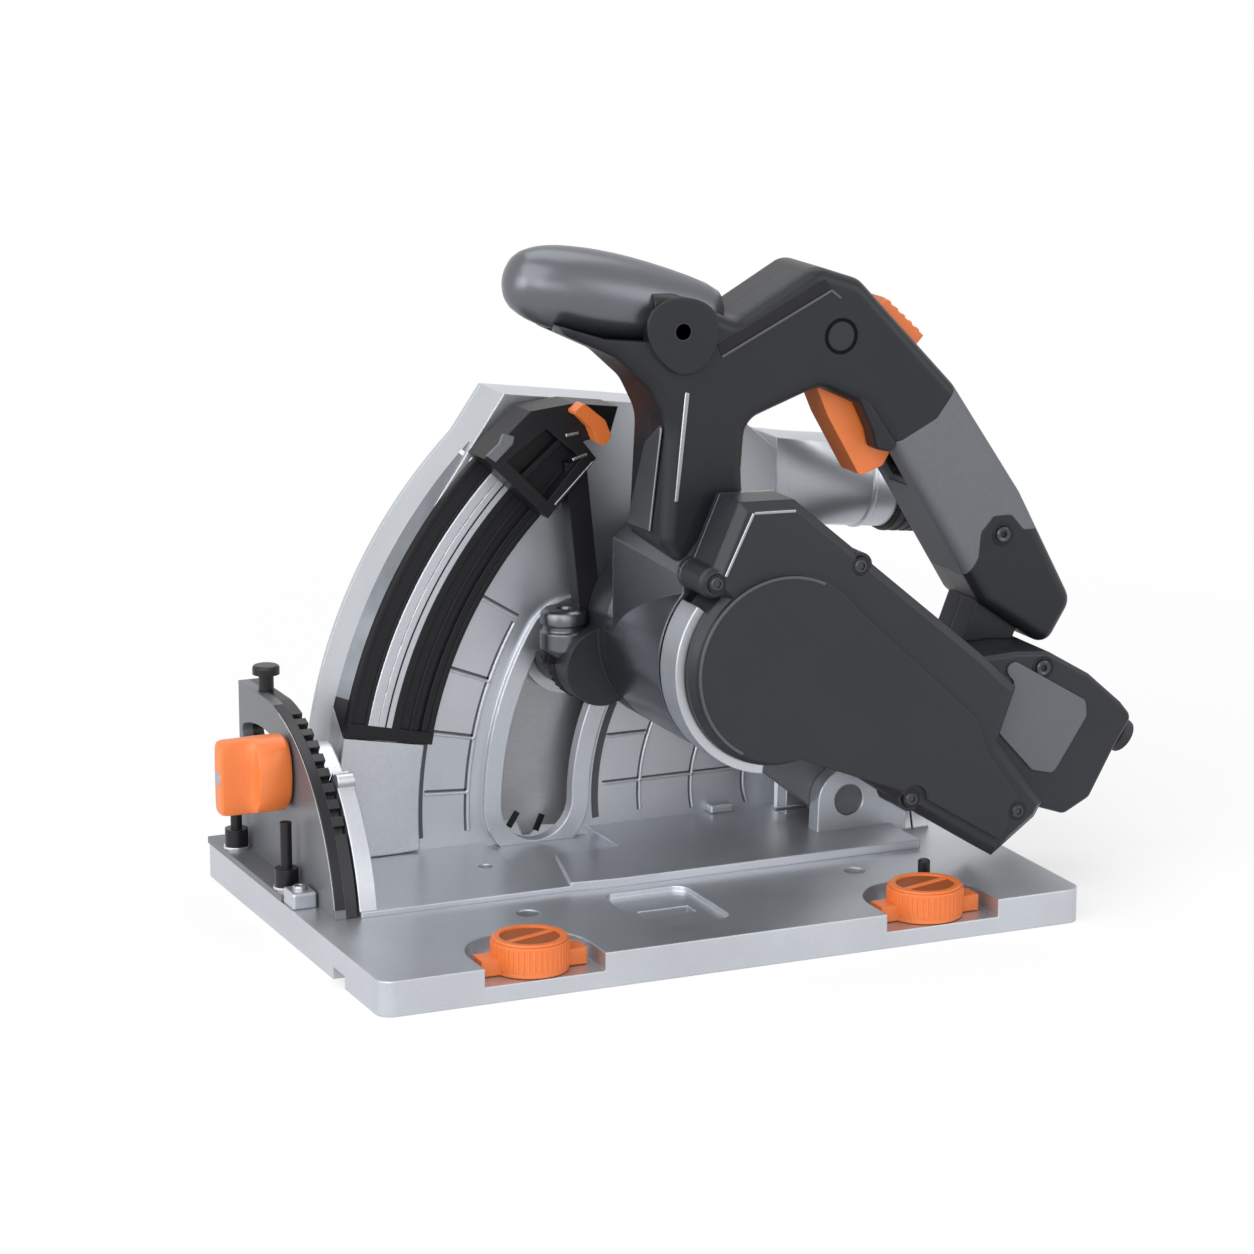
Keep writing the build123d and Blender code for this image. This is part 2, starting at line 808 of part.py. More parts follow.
def ear(front_x, inner, outer, low_height, top_angle, bolt_radius, bolt_angle):
    """Arc plate of the tilting flange that slides along a quadrant, in the part that is open."""
    low_angle = degrees(asin(low_height / outer))
    spot = tilt(bolt_radius, bolt_angle)
    with BuildSketch(end(front_x)) as plate:
        sector(bevel, inner, outer, 180 - top_angle, 180 - low_angle)
        arc_slot(bevel, bolt_radius, 180 - bolt_angle, 180 - low_angle - 10, 2 * clamp_boss_radius)
    extrude(plate.sketch, amount=ear_thickness)
    with BuildSketch(end(front_x)) as bolt_hole:
        with Locations(spot):
            Circle(clamp_bolt_radius + press_clearance)
    extrude(bolt_hole.sketch, amount=ear_thickness, mode=Mode.SUBTRACT)


with BuildPart() as tilt_base:
    with BuildSketch(level(plate_top)):
        polygon([
            (flange_front_x, flange_front_near_y),
            (flange_step_x[1], flange_front_near_y),
            (flange_step_x[1], guard_near_y),
            (flange_front_x, guard_near_y),
        ])
    extrude(amount=flange_front_height)
    with BuildSketch(level(plate_top)):
        polygon([
            (flange_step_x[0], flange_front_near_y),
            (flange_step_x[1], flange_near_y),
            (flange_rear_x, flange_near_y),
            (flange_rear_x, guard_near_y),
            (flange_step_x[1], guard_near_y),
        ])
    extrude(amount=flange_height)
    ear(ear_front_x, ear_inner_radius, quadrant_radius, plate_top, ear_top_angle, clamp_radius, clamp_angle)
    ear(rear_ear_x, rear_ear_inner_radius, rear_quadrant_radius, plate_top, rear_clamp_angle,
        rear_clamp_radius, rear_clamp_angle)
    with BuildSketch(level(plate_top)):
        polygon([
            (flange_rear_x - flange_link_lap, flange_link_near_y),
            (rear_ear_end_x, flange_link_near_y),
            (rear_ear_end_x, flange_link_far_y),
            (flange_rear_x - flange_link_lap, flange_link_far_y),
        ])
    extrude(amount=flange_height)
    with BuildSketch(end(ear_front_x)):
        with Locations(tilt(quadrant_radius, ear_top_angle - ear_nub_set)):
            Circle(ear_nub_radius)
    extrude(amount=ear_thickness)
    for lug_y in (lug_near_y + lug_thickness, lug_far_y + lug_thickness):
        with BuildSketch(side(lug_y)):
            with Locations(pivot):
                Circle(lug_radius)
            polygon([
                (pivot_x - lug_foot_front, plate_top),
                (pivot_x - lug_radius, pivot_z),
                (pivot_x + lug_radius, pivot_z),
                (pivot_x + lug_foot_rear, flange_top + lug_heel),
                (pivot_x + lug_foot_rear, plate_top),
            ])
        extrude(amount=lug_thickness)
        disc_between(pivot, pivot_pin_radius + press_clearance, lug_y, lug_y - lug_thickness, Mode.SUBTRACT)
    with BuildSketch(level(0)):
        with Locations((slot_bottom[0], guard_near_y)):
            Rectangle(2 * (slot_half + slot_lip_width), 2 * flange_notch_depth)
        with Locations((flange_hole_x, flange_hole_y)):
            Circle(flange_hole_radius)
    extrude(amount=flange_top, mode=Mode.SUBTRACT)
    with BuildSketch(level(0)):
        Rectangle(3 * plate_length, 3 * plate_width)
    extrude(amount=plate_top, mode=Mode.SUBTRACT)
finish(tilt_base, "tilt_base")

# Bevel clamp: the bolts of the two ears, and the winged knob on the front one
with BuildPart() as bevel_bolts:
    with BuildSketch(end(quadrant_front_x - slide_gap - knob_depth)):
        with Locations(clamp_spot):
            Circle(clamp_bolt_radius)
    extrude(amount=knob_depth + slide_gap + quadrant_thickness + ear_gap + ear_thickness)
    with BuildSketch(end(rear_ear_x)):
        with Locations(rear_clamp_spot):
            Circle(clamp_bolt_radius)
    extrude(amount=ear_thickness + ear_gap + rear_quadrant_thickness + slide_gap)
    with BuildSketch(end(rear_quadrant_x + rear_quadrant_thickness + slide_gap)):
        with Locations(rear_clamp_spot):
            RegularPolygon(2 * clamp_bolt_radius, 6)
    extrude(amount=2 * clamp_bolt_radius)
finish(bevel_bolts, "bevel_bolts")

with BuildPart() as bevel_knob:
    knob_face_x = quadrant_front_x - slide_gap
    with BuildSketch(end(knob_face_x)):
        with Locations(clamp_spot):
            Circle(knob_hub_radius)
    extrude(amount=-knob_depth / 2)
    with BuildSketch(end(knob_face_x - knob_hub_depth)):
        with Locations(clamp_spot):
            RectangleRounded(knob_wing, knob_height, knob_tip_radius)
    extrude(amount=-(knob_depth - knob_hub_depth))
    fillet(bevel_knob.edges().group_by(Axis.X)[0], knob_tip_radius / 3)
    scoop_x = knob_face_x - (knob_depth + knob_hub_depth) / 2
    scoop_reach = knob_wing / 2 - knob_scoop_depth + knob_scoop_radius
    with BuildSketch(level(clamp_spot[1] - knob_height / 2)):
        with Locations((scoop_x, clamp_spot[0] - scoop_reach), (scoop_x, clamp_spot[0] + scoop_reach)):
            Circle(knob_scoop_radius)
    extrude(amount=knob_height, mode=Mode.SUBTRACT)
    with BuildSketch(end(knob_face_x)):
        with Locations(clamp_spot):
            Circle(clamp_bolt_radius + running_clearance)
    extrude(amount=-knob_depth, mode=Mode.SUBTRACT)
finish(bevel_knob, "bevel_knob")

# Guard
guard_back = [
    guard_crown,
    guard_ridge,
    guard_back_top,
    (guard_back_x, guard_back_shoulder),
    (guard_back_x, plate_top),
]


def guard_face(bottom):
    """Side view of the guard down to this height, in the sketch that is open."""
    low_angle = -degrees(asin((pivot_z - bottom) / guard_radius))
    with BuildLine() as outline:
        rim_line = CenterArc(pivot, guard_radius, 180 - guard_top_angle, guard_top_angle - low_angle)
        Polyline(rim_line @ 0, *guard_back[:-1], (guard_back_x, bottom), rim_line @ 1)
    make_face(outline.edges())


back_boss_x = guard_back_x - guard_wall - cover_boss_radius / 2
cover_spots = [
    (guard_crown[0] + guard_wall, guard_crown[1] - guard_wall - cover_boss_radius),
    (guard_ridge[0] + cover_boss_radius, guard_ridge[1] - guard_wall - cover_boss_radius),
    (back_boss_x, guard_back_shoulder - guard_wall - cover_boss_radius),
    (back_boss_x, plate_top + cover_lift + 2 * cover_boss_radius),
]
guard_pad_turn = degrees(guard_pad_gap / guard_pad_inner)
guard_pad_bottom = plate_top + flange_front_height + guard_pad_gap
slot_first = 180 - arbor_rest_angle
slot_last = 180 - slot_low_angle
with BuildPart() as guard_housing:
    with BuildSketch(side(guard_far_y)):
        guard_face(plate_top)
    extrude(amount=guard_depth)
    chamfer(
        guard_housing.edges().group_by(Axis.Y)[0].filter_by(GeomType.CIRCLE),
        guard_edge_chamfer,
    )
    with BuildSketch(side(guard_far_y)) as cavity:
        guard_face(plate_top)
        offset(amount=-guard_wall, mode=Mode.REPLACE)
        with Locations(((guard_back_x + guard_front_x) / 2, plate_top)):
            Rectangle(guard_back_x - guard_front_x - 2 * guard_wall - 1, 4 * guard_wall)
    extrude(amount=guard_depth - guard_wall, mode=Mode.SUBTRACT)
    with BuildSketch(side(guard_far_y)):
        with Locations(*cover_spots):
            Circle(cover_boss_radius)
    extrude(amount=guard_depth - guard_wall)
    with BuildSketch(side(guard_near_y)):
        sector(pivot, guard_pad_inner, guard_radius - guard_edge_chamfer,
               180 - track_start + guard_pad_turn, 180 - guard_low_angle - guard_pad_turn)
        with Locations((slot_bottom[0], guard_pad_bottom - plate_width / 2)):
            Rectangle(plate_length, plate_width, mode=Mode.SUBTRACT)
    extrude(amount=track_thickness)
    with BuildSketch(side(guard_near_y)):
        arc_slot(pivot, arbor_swing, slot_first, slot_last, 2 * (slot_half + slot_lip_width))
        with Locations((slot_bottom[0], plate_top - plate_width / 2)):
            Rectangle(plate_length, plate_width, mode=Mode.SUBTRACT)
    extrude(amount=slot_lip_height)
    with BuildSketch(side(guard_inner_y)):
        arc_slot(pivot, arbor_swing, slot_first, slot_last, 2 * slot_half)
    extrude(amount=guard_wall + slot_lip_height, mode=Mode.SUBTRACT)
    with BuildSketch(end(guard_back_x - guard_wall)):
        with Locations((cut_y, port_z)):
            Rectangle(port_window_width, port_window_height)
    extrude(amount=guard_wall, mode=Mode.SUBTRACT)
    for spot in cover_spots:
        disc_between(spot, cover_screw_radius + press_clearance, guard_far_y, guard_inner_y, Mode.SUBTRACT)
finish(guard_housing, "guard_housing")

# Far cover of the guard and its screws
with BuildPart() as guard_cover:
    with BuildSketch(side(guard_far_y + cover_thickness)):
        guard_face(plate_top + cover_lift)
    extrude(amount=cover_thickness)
    with BuildSketch(side(guard_far_y + cover_thickness)):
        with Locations(*cover_spots):
            Circle(cover_screw_radius + press_clearance)
    extrude(amount=cover_thickness, mode=Mode.SUBTRACT)
finish(guard_cover, "guard_cover")

with BuildPart() as guard_cover_screws:
    for spot in cover_spots:
        disc_between(spot, cover_screw_radius, guard_far_y + cover_thickness, guard_inner_y + guard_wall)
        disc_between(spot, cover_screw_head, guard_far_y + cover_thickness + cover_screw_head_height,
                     guard_far_y + cover_thickness)
finish(guard_cover_screws, "guard_cover_screws")

# Depth track and its metal scale strip
with BuildPart() as depth_track:
    with BuildSketch(side(guard_near_y)):
        sector(pivot, track_inner, track_outer, 180 - track_end, 180 - track_start)
    extrude(amount=track_thickness)
    with BuildSketch(side(guard_near_y - track_thickness / 2)):
        groove_inner = track_groove_radius - track_groove_width / 2
        sector(pivot, groove_inner, groove_inner + track_groove_width, 180 - track_end, 180 - track_start)
    extrude(amount=track_thickness, mode=Mode.SUBTRACT)
finish(depth_track, "depth_track")

scale_near_y = guard_near_y - track_thickness - scale_thickness
with BuildPart() as depth_scale:
    with BuildSketch(side(guard_near_y - track_thickness)):
        sector(pivot, scale_inner, scale_outer, 180 - track_end, 180 - track_start)
    extrude(amount=scale_thickness)
finish(depth_scale, "depth_scale")

# Pivot pin and the bushes in the plunge arm
with BuildPart() as pivot_pin:
    pin_far_y = lug_far_y + lug_thickness - pivot_pin_recess
    disc_between(pivot, pivot_pin_radius, pin_far_y, lug_near_y + pivot_pin_recess)
finish(pivot_pin, "pivot_pin")

with BuildPart() as pivot_bushes:
    for bush_far_y in (arm_far_y, arm_near_y + bush_length):
        bush_near_y = bush_far_y - bush_length
        disc_between(pivot, bush_radius, bush_far_y, bush_near_y)
        disc_between(pivot, pivot_pin_radius + running_clearance, bush_far_y, bush_near_y, Mode.SUBTRACT)
finish(pivot_bushes, "pivot_bushes")

# Dust port: a funnel off the back of the guard, ending in a soft sleeve
port_angle = -degrees(atan2(port_drop, port_run))
port_dir = (cos(radians(port_angle)), 0, sin(radians(port_angle)))
port_end = Plane(
    origin=(guard_back_x + port_run, cut_y, port_z - port_drop),
    x_dir=(0, 1, 0),
    z_dir=port_dir,
)
with BuildPart() as dust_port:
    with BuildSketch(end(guard_back_x)):
        with Locations((cut_y, port_z)):
            Rectangle(port_collar_width, port_collar_height)
    with BuildSketch(port_end):
        Circle(port_radius)
    loft()
    with BuildSketch(port_end):
        Circle(port_radius)
    extrude(amount=port_straight)
    with BuildSketch(end(guard_back_x)):
        with Locations((cut_y, port_z)):
            Rectangle(port_window_width, port_window_height)
    with BuildSketch(port_end):
        Circle(port_radius - port_wall)
    loft(mode=Mode.SUBTRACT)
    with BuildSketch(port_end):
        Circle(port_radius - port_wall)
    extrude(amount=port_straight, mode=Mode.SUBTRACT)
finish(dust_port, "dust_port")

with BuildPart() as dust_sleeve:
    with BuildSketch(port_end.offset(port_straight)):
        Circle(port_radius + sleeve_lip)
        Circle(sleeve_radius, mode=Mode.SUBTRACT)
    extrude(amount=sleeve_length)
finish(dust_sleeve, "dust_sleeve")

# Plunge arm
with BuildPart() as plunge_arm:
    with BuildSketch(side(arm_far_y)):
        with BuildLine():
            top_left = around(motor, arm_top_reach, arm_top_angles[0])
            top_right = around(motor, arm_top_reach, arm_top_angles[1])
            low_left = around(pivot, arm_boss_radius, arm_foot_angles[0])
            low_right = around(pivot, arm_boss_radius, arm_foot_angles[1])
            Polyline(top_left, low_left, low_right, top_right, close=True)
        make_face()
        with Locations(pivot):
            Circle(arm_boss_radius)
        with Locations(motor):
            Circle(case_radius + seat_gap, mode=Mode.SUBTRACT)
    extrude(amount=arm_width)
    disc_between(pivot, bush_radius + press_clearance, arm_far_y, arm_near_y, Mode.SUBTRACT)
    disc_between(arbor, arbor_gear_teeth * gear_module, arm_far_y, arm_near_y, Mode.SUBTRACT)
finish(plunge_arm, "plunge_arm")

# Gear case with the neck that carries the arbor through the guard's slot
arbor_gear_tip = gear_module * (arbor_gear_teeth / 2 + 1)
chamber_radius = arbor_gear_tip + arbor_chamber_gap
chamber_near_y = second_stage_y - second_stage_width - gear_side_gap
with BuildPart() as gear_case:
    disc_between(motor, case_radius, case_far_y, case_near_y)
    disc_between(arbor, chamber_radius + arbor_chamber_wall, case_far_y, chamber_near_y - arbor_chamber_wall)
    disc_between(arbor, neck_radius, neck_far_y, case_far_y)
    disc_between(motor, case_inner_radius, case_inner_y, case_near_y, Mode.SUBTRACT)
    disc_between(arbor, chamber_radius, case_inner_y, chamber_near_y, Mode.SUBTRACT)
    disc_between(arbor, arbor_bearing_radius, neck_far_y, case_inner_y, Mode.SUBTRACT)
    idler_hole = idler_shaft_radius + running_clearance
    disc_between(idler, idler_hole, case_far_y - case_wall / 3, case_inner_y - 1, Mode.SUBTRACT)
finish(gear_case, "gear_case")

# Arbor with its gear, flanges and blade
flange_far_y = blade_near_y
arbor_end_y = flange_far_y - inner_flange_thickness + 3
with BuildPart() as arbor_shaft:
    disc_between(arbor, arbor_radius, arbor_end_y, second_stage_y - second_stage_width)
    disc_between(arbor, blade_bolt_radius + press_clearance, arbor_end_y, arbor_end_y - blade_bolt_length,
                 Mode.SUBTRACT)
finish(arbor_shaft, "arbor_shaft")

to_idler = idler_angle
to_motor = motor_angle
with BuildPart() as arbor_gear:
    with BuildSketch(side(second_stage_y)):
        gear_face(arbor, arbor_gear_teeth, to_idler)
        with Locations(arbor):
            Circle(arbor_radius + press_clearance, mode=Mode.SUBTRACT)
    extrude(amount=second_stage_width)
finish(arbor_gear, "arbor_gear")

with BuildPart() as blade_flanges:
    disc_between(arbor, inner_flange_radius, flange_far_y, flange_far_y - inner_flange_thickness)
    disc_between(arbor, spigot_radius, blade_far_y, flange_far_y)
    disc_between(arbor, arbor_radius + press_clearance, arbor_end_y, flange_far_y - inner_flange_thickness,
                 Mode.SUBTRACT)
    disc_between(arbor, outer_flange_radius, blade_far_y + outer_flange_thickness, blade_far_y + seat_gap)
    bolt_hole = blade_bolt_radius + press_clearance
    disc_between(arbor, bolt_hole, blade_far_y + outer_flange_thickness, arbor_end_y, Mode.SUBTRACT)
finish(blade_flanges, "blade_flanges")

bolt_far_y = blade_far_y + outer_flange_thickness
with BuildPart() as blade_bolt:
    disc_between(arbor, blade_bolt_head, bolt_far_y + blade_bolt_head_height, bolt_far_y)
    disc_between(arbor, blade_bolt_radius, bolt_far_y, arbor_end_y - blade_bolt_length + 1)
    with BuildSketch(side(bolt_far_y + blade_bolt_head_height)):
        with Locations(arbor):
            RegularPolygon(blade_bolt_radius * 1.2, 6)
    extrude(amount=blade_bolt_head_height / 2, mode=Mode.SUBTRACT)
finish(blade_bolt, "blade_bolt")

blade_root = blade_radius - blade_tooth_depth
with BuildPart() as saw_blade:
    with BuildSketch(side(blade_far_y)):
        with Locations(arbor):
            Circle(blade_root)
            with PolarLocations(0, blade_teeth):
                polygon([
                    around((0, 0), blade_root - 1, -3),
                    around((0, 0), blade_radius, 0),
                    around((0, 0), blade_radius - 0.6, 2.2),
                    around((0, 0), blade_root - 1, 6),
                ])
            Circle(spigot_radius + press_clearance, mode=Mode.SUBTRACT)
            slot_middle = blade_root + blade_slot_width - blade_slot_length / 2
            with PolarLocations(slot_middle, blade_slot_count, start_angle=blade_slot_angle):
                SlotOverall(blade_slot_length, blade_slot_width, mode=Mode.SUBTRACT)
    extrude(amount=blade_thickness)
finish(saw_blade, "saw_blade")

# Idler shaft with its two gears
idler_pinion_angle = to_idler + 180 + 180 / idler_pinion_teeth
with BuildPart() as idler_shaft:
    with BuildSketch(side(second_stage_y)):
        gear_face(idler, idler_pinion_teeth, idler_pinion_angle)
    extrude(amount=second_stage_width)
    with BuildSketch(side(first_stage_y)):
        gear_face(idler, idler_gear_teeth, to_motor)
    extrude(amount=first_stage_width)
    disc_between(idler, idler_shaft_radius, case_far_y - case_wall / 2,
                 case_near_y - bearing_plate_thickness / 2)
finish(idler_shaft, "idler_shaft")

# Bearing plate between gears and motor
hub_near_y = case_near_y - front_bearing_width - gear_side_gap
with BuildPart() as bearing_plate:
    disc_between(motor, case_inner_radius - seat_gap, case_near_y, case_near_y - bearing_plate_thickness)
    disc_between(motor, front_bearing_radius + front_bearing_hub, case_near_y, hub_near_y)
    disc_between(motor, front_bearing_radius, case_near_y, hub_near_y, Mode.SUBTRACT)
    idler_end_y = case_near_y - bearing_plate_thickness / 2
    disc_between(idler, idler_hole, case_near_y, idler_end_y - seat_gap, Mode.SUBTRACT)
finish(bearing_plate, "bearing_plate")

rear_bearing_far_y = cover_face_y + cover_wall + rear_bearing_width
arbor_bearing_far = (neck_far_y - seat_gap, case_far_y + arbor_bearing_width)
with BuildPart() as ball_bearings:
    for far_y in arbor_bearing_far:
        bearing(arbor, arbor_bearing_radius, arbor_radius, far_y, arbor_bearing_width)
    bearing(motor, front_bearing_radius, motor_shaft_radius, case_near_y - seat_gap, front_bearing_width)
    bearing(motor, rear_bearing_radius, rear_shaft_radius, rear_bearing_far_y, rear_bearing_width)
finish(ball_bearings, "ball_bearings")

# Motor shaft with its pinion, and what turns with it
pinion_angle = to_motor + 180 + 180 / motor_pinion_teeth
with BuildPart() as motor_shaft:
    with BuildSketch(side(first_stage_y)):
        gear_face(motor, motor_pinion_teeth, pinion_angle)
    extrude(amount=first_stage_width)
    disc_between(motor, pinion_shaft_radius, first_stage_y, case_near_y - seat_gap)
    disc_between(motor, motor_shaft_radius, case_near_y - seat_gap, rear_bearing_far_y + gear_side_gap)
    disc_between(motor, rear_shaft_radius, rear_bearing_far_y + gear_side_gap,
                 rear_bearing_far_y - rear_bearing_width + gear_side_gap)
finish(motor_shaft, "motor_shaft")

with BuildPart() as cooling_fan:
    fan_web_y = fan_far_y - fan_blade_height - fan_thickness
    disc_between(motor, fan_radius, fan_web_y + fan_thickness, fan_web_y)
    with BuildSketch(side(fan_far_y)):
        with Locations(motor):
            with PolarLocations(fan_blade_place, fan_blades):
                Rectangle(fan_blade_length, fan_blade_thickness, rotation=fan_blade_lean)
    extrude(amount=fan_blade_height)
    disc_between(motor, motor_shaft_radius + fan_hub_wall, fan_far_y, fan_web_y)
    disc_between(motor, motor_shaft_radius + press_clearance, fan_far_y, fan_web_y, Mode.SUBTRACT)
finish(cooling_fan, "cooling_fan")

armature_near_y = field_far_y - field_length
with BuildPart() as armature:
    with BuildSketch(side(field_far_y)):
        with Locations(motor):
            Circle(armature_radius)
            with PolarLocations(armature_radius - armature_slot_depth / 2, armature_slots):
                Rectangle(armature_slot_depth + 1, armature_slot_width, mode=Mode.SUBTRACT)
            Circle(motor_shaft_radius + press_clearance, mode=Mode.SUBTRACT)
    extrude(amount=field_length)
    for far_y in (field_far_y + winding_overhang, armature_near_y):
        near_y = far_y - winding_overhang
        disc_between(motor, winding_radius, far_y, near_y)
        disc_between(motor, motor_shaft_radius + press_clearance, far_y, near_y, Mode.SUBTRACT)
finish(armature, "armature")

with BuildPart() as commutator:
    with BuildSketch(side(commutator_far_y)):
        with Locations(motor):
            Circle(commutator_radius)
            Circle(motor_shaft_radius + press_clearance, mode=Mode.SUBTRACT)
            with PolarLocations(commutator_radius, commutator_bars):
                Rectangle(2, commutator_bar_gap, mode=Mode.SUBTRACT)
    extrude(amount=commutator_length)
finish(commutator, "commutator")

# Field stack, coils and brush gear
field_outer = case_inner_radius - seat_gap
pole_radius = armature_radius + armature_air_gap
yoke_inner = field_outer - field_yoke
with BuildPart() as field_stack:
    with BuildSketch(side(field_far_y)):
        with Locations(motor):
            Circle(field_outer)
            Circle(yoke_inner, mode=Mode.SUBTRACT)
        for middle in (90, 270):
            pole_first = middle - field_pole_half_angle
            sector(motor, pole_radius, yoke_inner + 1, pole_first, pole_first + 2 * field_pole_half_angle)
    extrude(amount=field_length)
finish(field_stack, "field_stack")

with BuildPart() as field_coils:
    with BuildSketch(side(field_far_y + field_coil_overhang)):
        for middle in (0, 180):
            sector(motor, pole_radius + 1.5, yoke_inner - seat_gap, middle - field_coil_half_angle,
                   middle + field_coil_half_angle)
    extrude(amount=field_length + 2 * field_coil_overhang)
finish(field_coils, "field_coils")

brush_mid_y = commutator_far_y - commutator_length / 2
brush_tube_start = rear_bearing_radius + seat_wall + 2 * seat_gap
brush_plate_near_y = brush_plate_far_y - brush_plate_thickness
brush_tube_length = brush_length + 2
with BuildPart() as brush_holders:
    with BuildSketch(side(brush_plate_far_y)):
        with Locations(motor):
            Circle(cover_round - cover_wall - seat_gap)
            Circle(commutator_radius + 4, mode=Mode.SUBTRACT)
    extrude(amount=brush_plate_thickness)
    for turn in (0, 180):
        with BuildSketch(side(brush_plate_near_y)):
            with Locations(around(motor, brush_tube_start + brush_tube_length / 2, turn)):
                Rectangle(brush_tube_length, brush_height + 2 * brush_tube_wall)
        extrude(amount=brush_plate_near_y - brush_mid_y + brush_width / 2 + brush_tube_wall)
        with BuildSketch(side(brush_mid_y + brush_width / 2 + seat_gap)):
            with Locations(around(motor, brush_tube_start + brush_tube_length / 2, turn)):
                Rectangle(brush_tube_length, brush_height + 2 * seat_gap)
        extrude(amount=brush_width + 2 * seat_gap, mode=Mode.SUBTRACT)
finish(brush_holders, "brush_holders")

with BuildPart() as carbon_brushes:
    with BuildSketch(side(brush_mid_y + brush_width / 2)):
        for turn in (0, 180):
            with Locations(around(motor, commutator_radius + brush_gap + brush_length / 2 + 0.4, turn)):
                Rectangle(brush_length, brush_height)
        with Locations(motor):
            Circle(commutator_radius + brush_gap, mode=Mode.SUBTRACT)
    extrude(amount=brush_width)
finish(carbon_brushes, "carbon_brushes")

# Side cover outline, shared by the cover and the flange of the motor housing
cover_points = [
    motor,
    (2.3, 140.0),
    (15.3, 169.5),
    (38.2, 168.7),
    (118.7, 101.5),
    (135.5, 85.8),
    (127.6, 64.5),
    (148.4, 37.8),
    (144.9, 32.1),
    (126.0, 18.5),
    (91.5, 40.3),
    (52.0, 68.0),
]


def cover_face(grow=0.0):
    """Side view of the side cover, in the sketch that is open."""
    polygon(cover_points)
    with Locations(motor):
        Circle(cover_round)
    with Locations(*cover_screw_spots[:1]):
        Circle(cover_post_radius + 1)
    if grow:
        offset(amount=grow, mode=Mode.REPLACE)


housing_screw_hole = housing_screw_radius + press_clearance
shoulder_near = [
    (1.5, motor[1]),
    (1.5, 138.0),
    (21.0, 162.5),
    (28.5, 165.2),
    (36.0, 164.0),
    (36.0, motor[1]),
]
shoulder_far = [
    (shoulder_front_x, motor[1]),
    (shoulder_front_x, 146.0),
    (4.0, 158.0),
    (18.0, 164.0),
    (34.0, 165.0),
    (36.0, motor[1]),
]


def shoulder(grow=0.0, mode=Mode.ADD):
    """Shoulder of the motor housing that the handle's column stands on, in the part that is open."""
    with BuildSketch(side(housing_near_y)) as near_face:
        polygon(shoulder_near)
        if grow:
            offset(amount=grow, mode=Mode.REPLACE, kind=Kind.INTERSECTION)
    with BuildSketch(side(shoulder_far_y + grow)) as far_face:
        polygon(shoulder_far)
        if grow:
            offset(amount=grow, mode=Mode.REPLACE, kind=Kind.INTERSECTION)
    loft([near_face.sketch, far_face.sketch], ruled=True, mode=mode)


# Motor housing: the tube round the motor and the flange that closes the side cover
with BuildPart() as motor_housing:
    disc_between(motor, case_radius, case_near_y, housing_near_y)
    shoulder()
    with BuildSketch(side(housing_near_y)):
        cover_face()
    extrude(amount=housing_flange)
    disc_between(motor, case_inner_radius, case_near_y, housing_near_y - housing_flange, Mode.SUBTRACT)
    for spot in cover_screw_spots:
        disc_between(spot, housing_screw_hole, housing_near_y, housing_near_y - housing_flange, Mode.SUBTRACT)
finish(motor_housing, "motor_housing")

cover_far_y = housing_near_y - housing_flange
cover_depth = cover_far_y - cover_face_y
with BuildPart() as side_cover:
    with BuildSketch(side(cover_far_y)):
        cover_face()
    extrude(amount=cover_depth)
    chamfer(side_cover.faces().sort_by(Axis.Y)[0].edges(), cover_edge)
    with BuildSketch(side(cover_far_y)):
        cover_face(-cover_wall)
    extrude(amount=cover_depth - cover_wall, mode=Mode.SUBTRACT)
    with BuildSketch(side(cover_far_y)):
        with Locations(*cover_screw_spots):
            Circle(cover_post_radius)
    extrude(amount=cover_depth - cover_wall / 2)
    disc_between(motor, rear_bearing_radius + seat_wall, rear_bearing_far_y, cover_face_y + cover_wall / 2)
    disc_between(motor, rear_bearing_radius, rear_bearing_far_y, cover_face_y + cover_wall, Mode.SUBTRACT)
    with BuildSketch(side(cover_face_y)):
        with Locations(motor):
            Circle(cover_boss)
        polygon([
            around(motor, cover_boss, 60),
            (116.0, 76.0),
            (121.0, 62.0),
            (137.0, 40.0),
            (127.0, 26.0),
            (93.0, 47.0),
            around(motor, cover_boss, 280),
            around(motor, cover_boss, 170),
        ])
        with Locations(*cover_screw_spots):
            Circle(cover_post_radius + 0.6, mode=Mode.SUBTRACT)
    extrude(amount=cover_raise)
    for spot in cover_screw_spots:
        disc_between(spot, housing_screw_hole, cover_far_y, cover_face_y, Mode.SUBTRACT)
        head_seat_y = cover_face_y + housing_screw_head_height
        disc_between(spot, housing_screw_head + seat_gap, head_seat_y, cover_face_y, Mode.SUBTRACT)
finish(side_cover, "side_cover")

with BuildPart() as cover_screws:
    head_far_y = cover_face_y + housing_screw_head_height
    for spot in cover_screw_spots:
        disc_between(spot, housing_screw_radius, housing_near_y - seat_gap, head_far_y)
        with BuildSketch(side(head_far_y)):
            with Locations(spot):
                Circle(housing_screw_head)
        extrude(amount=housing_screw_head_height)
        with BuildSketch(side(head_far_y - housing_screw_head_height / 2)):
            with Locations(spot):
                RegularPolygon(housing_screw_radius, 6)
        extrude(amount=housing_screw_head_height / 2, mode=Mode.SUBTRACT)
finish(cover_screws, "cover_screws")

# Bright ring between the motor tube and the side cover
with BuildPart() as motor_ring:
    with BuildSketch(side(cover_far_y)):
        sector(motor, cover_round + seat_gap, ring_outer, ring_start, ring_end)
    extrude(amount=ring_length)
finish(motor_ring, "motor_ring")

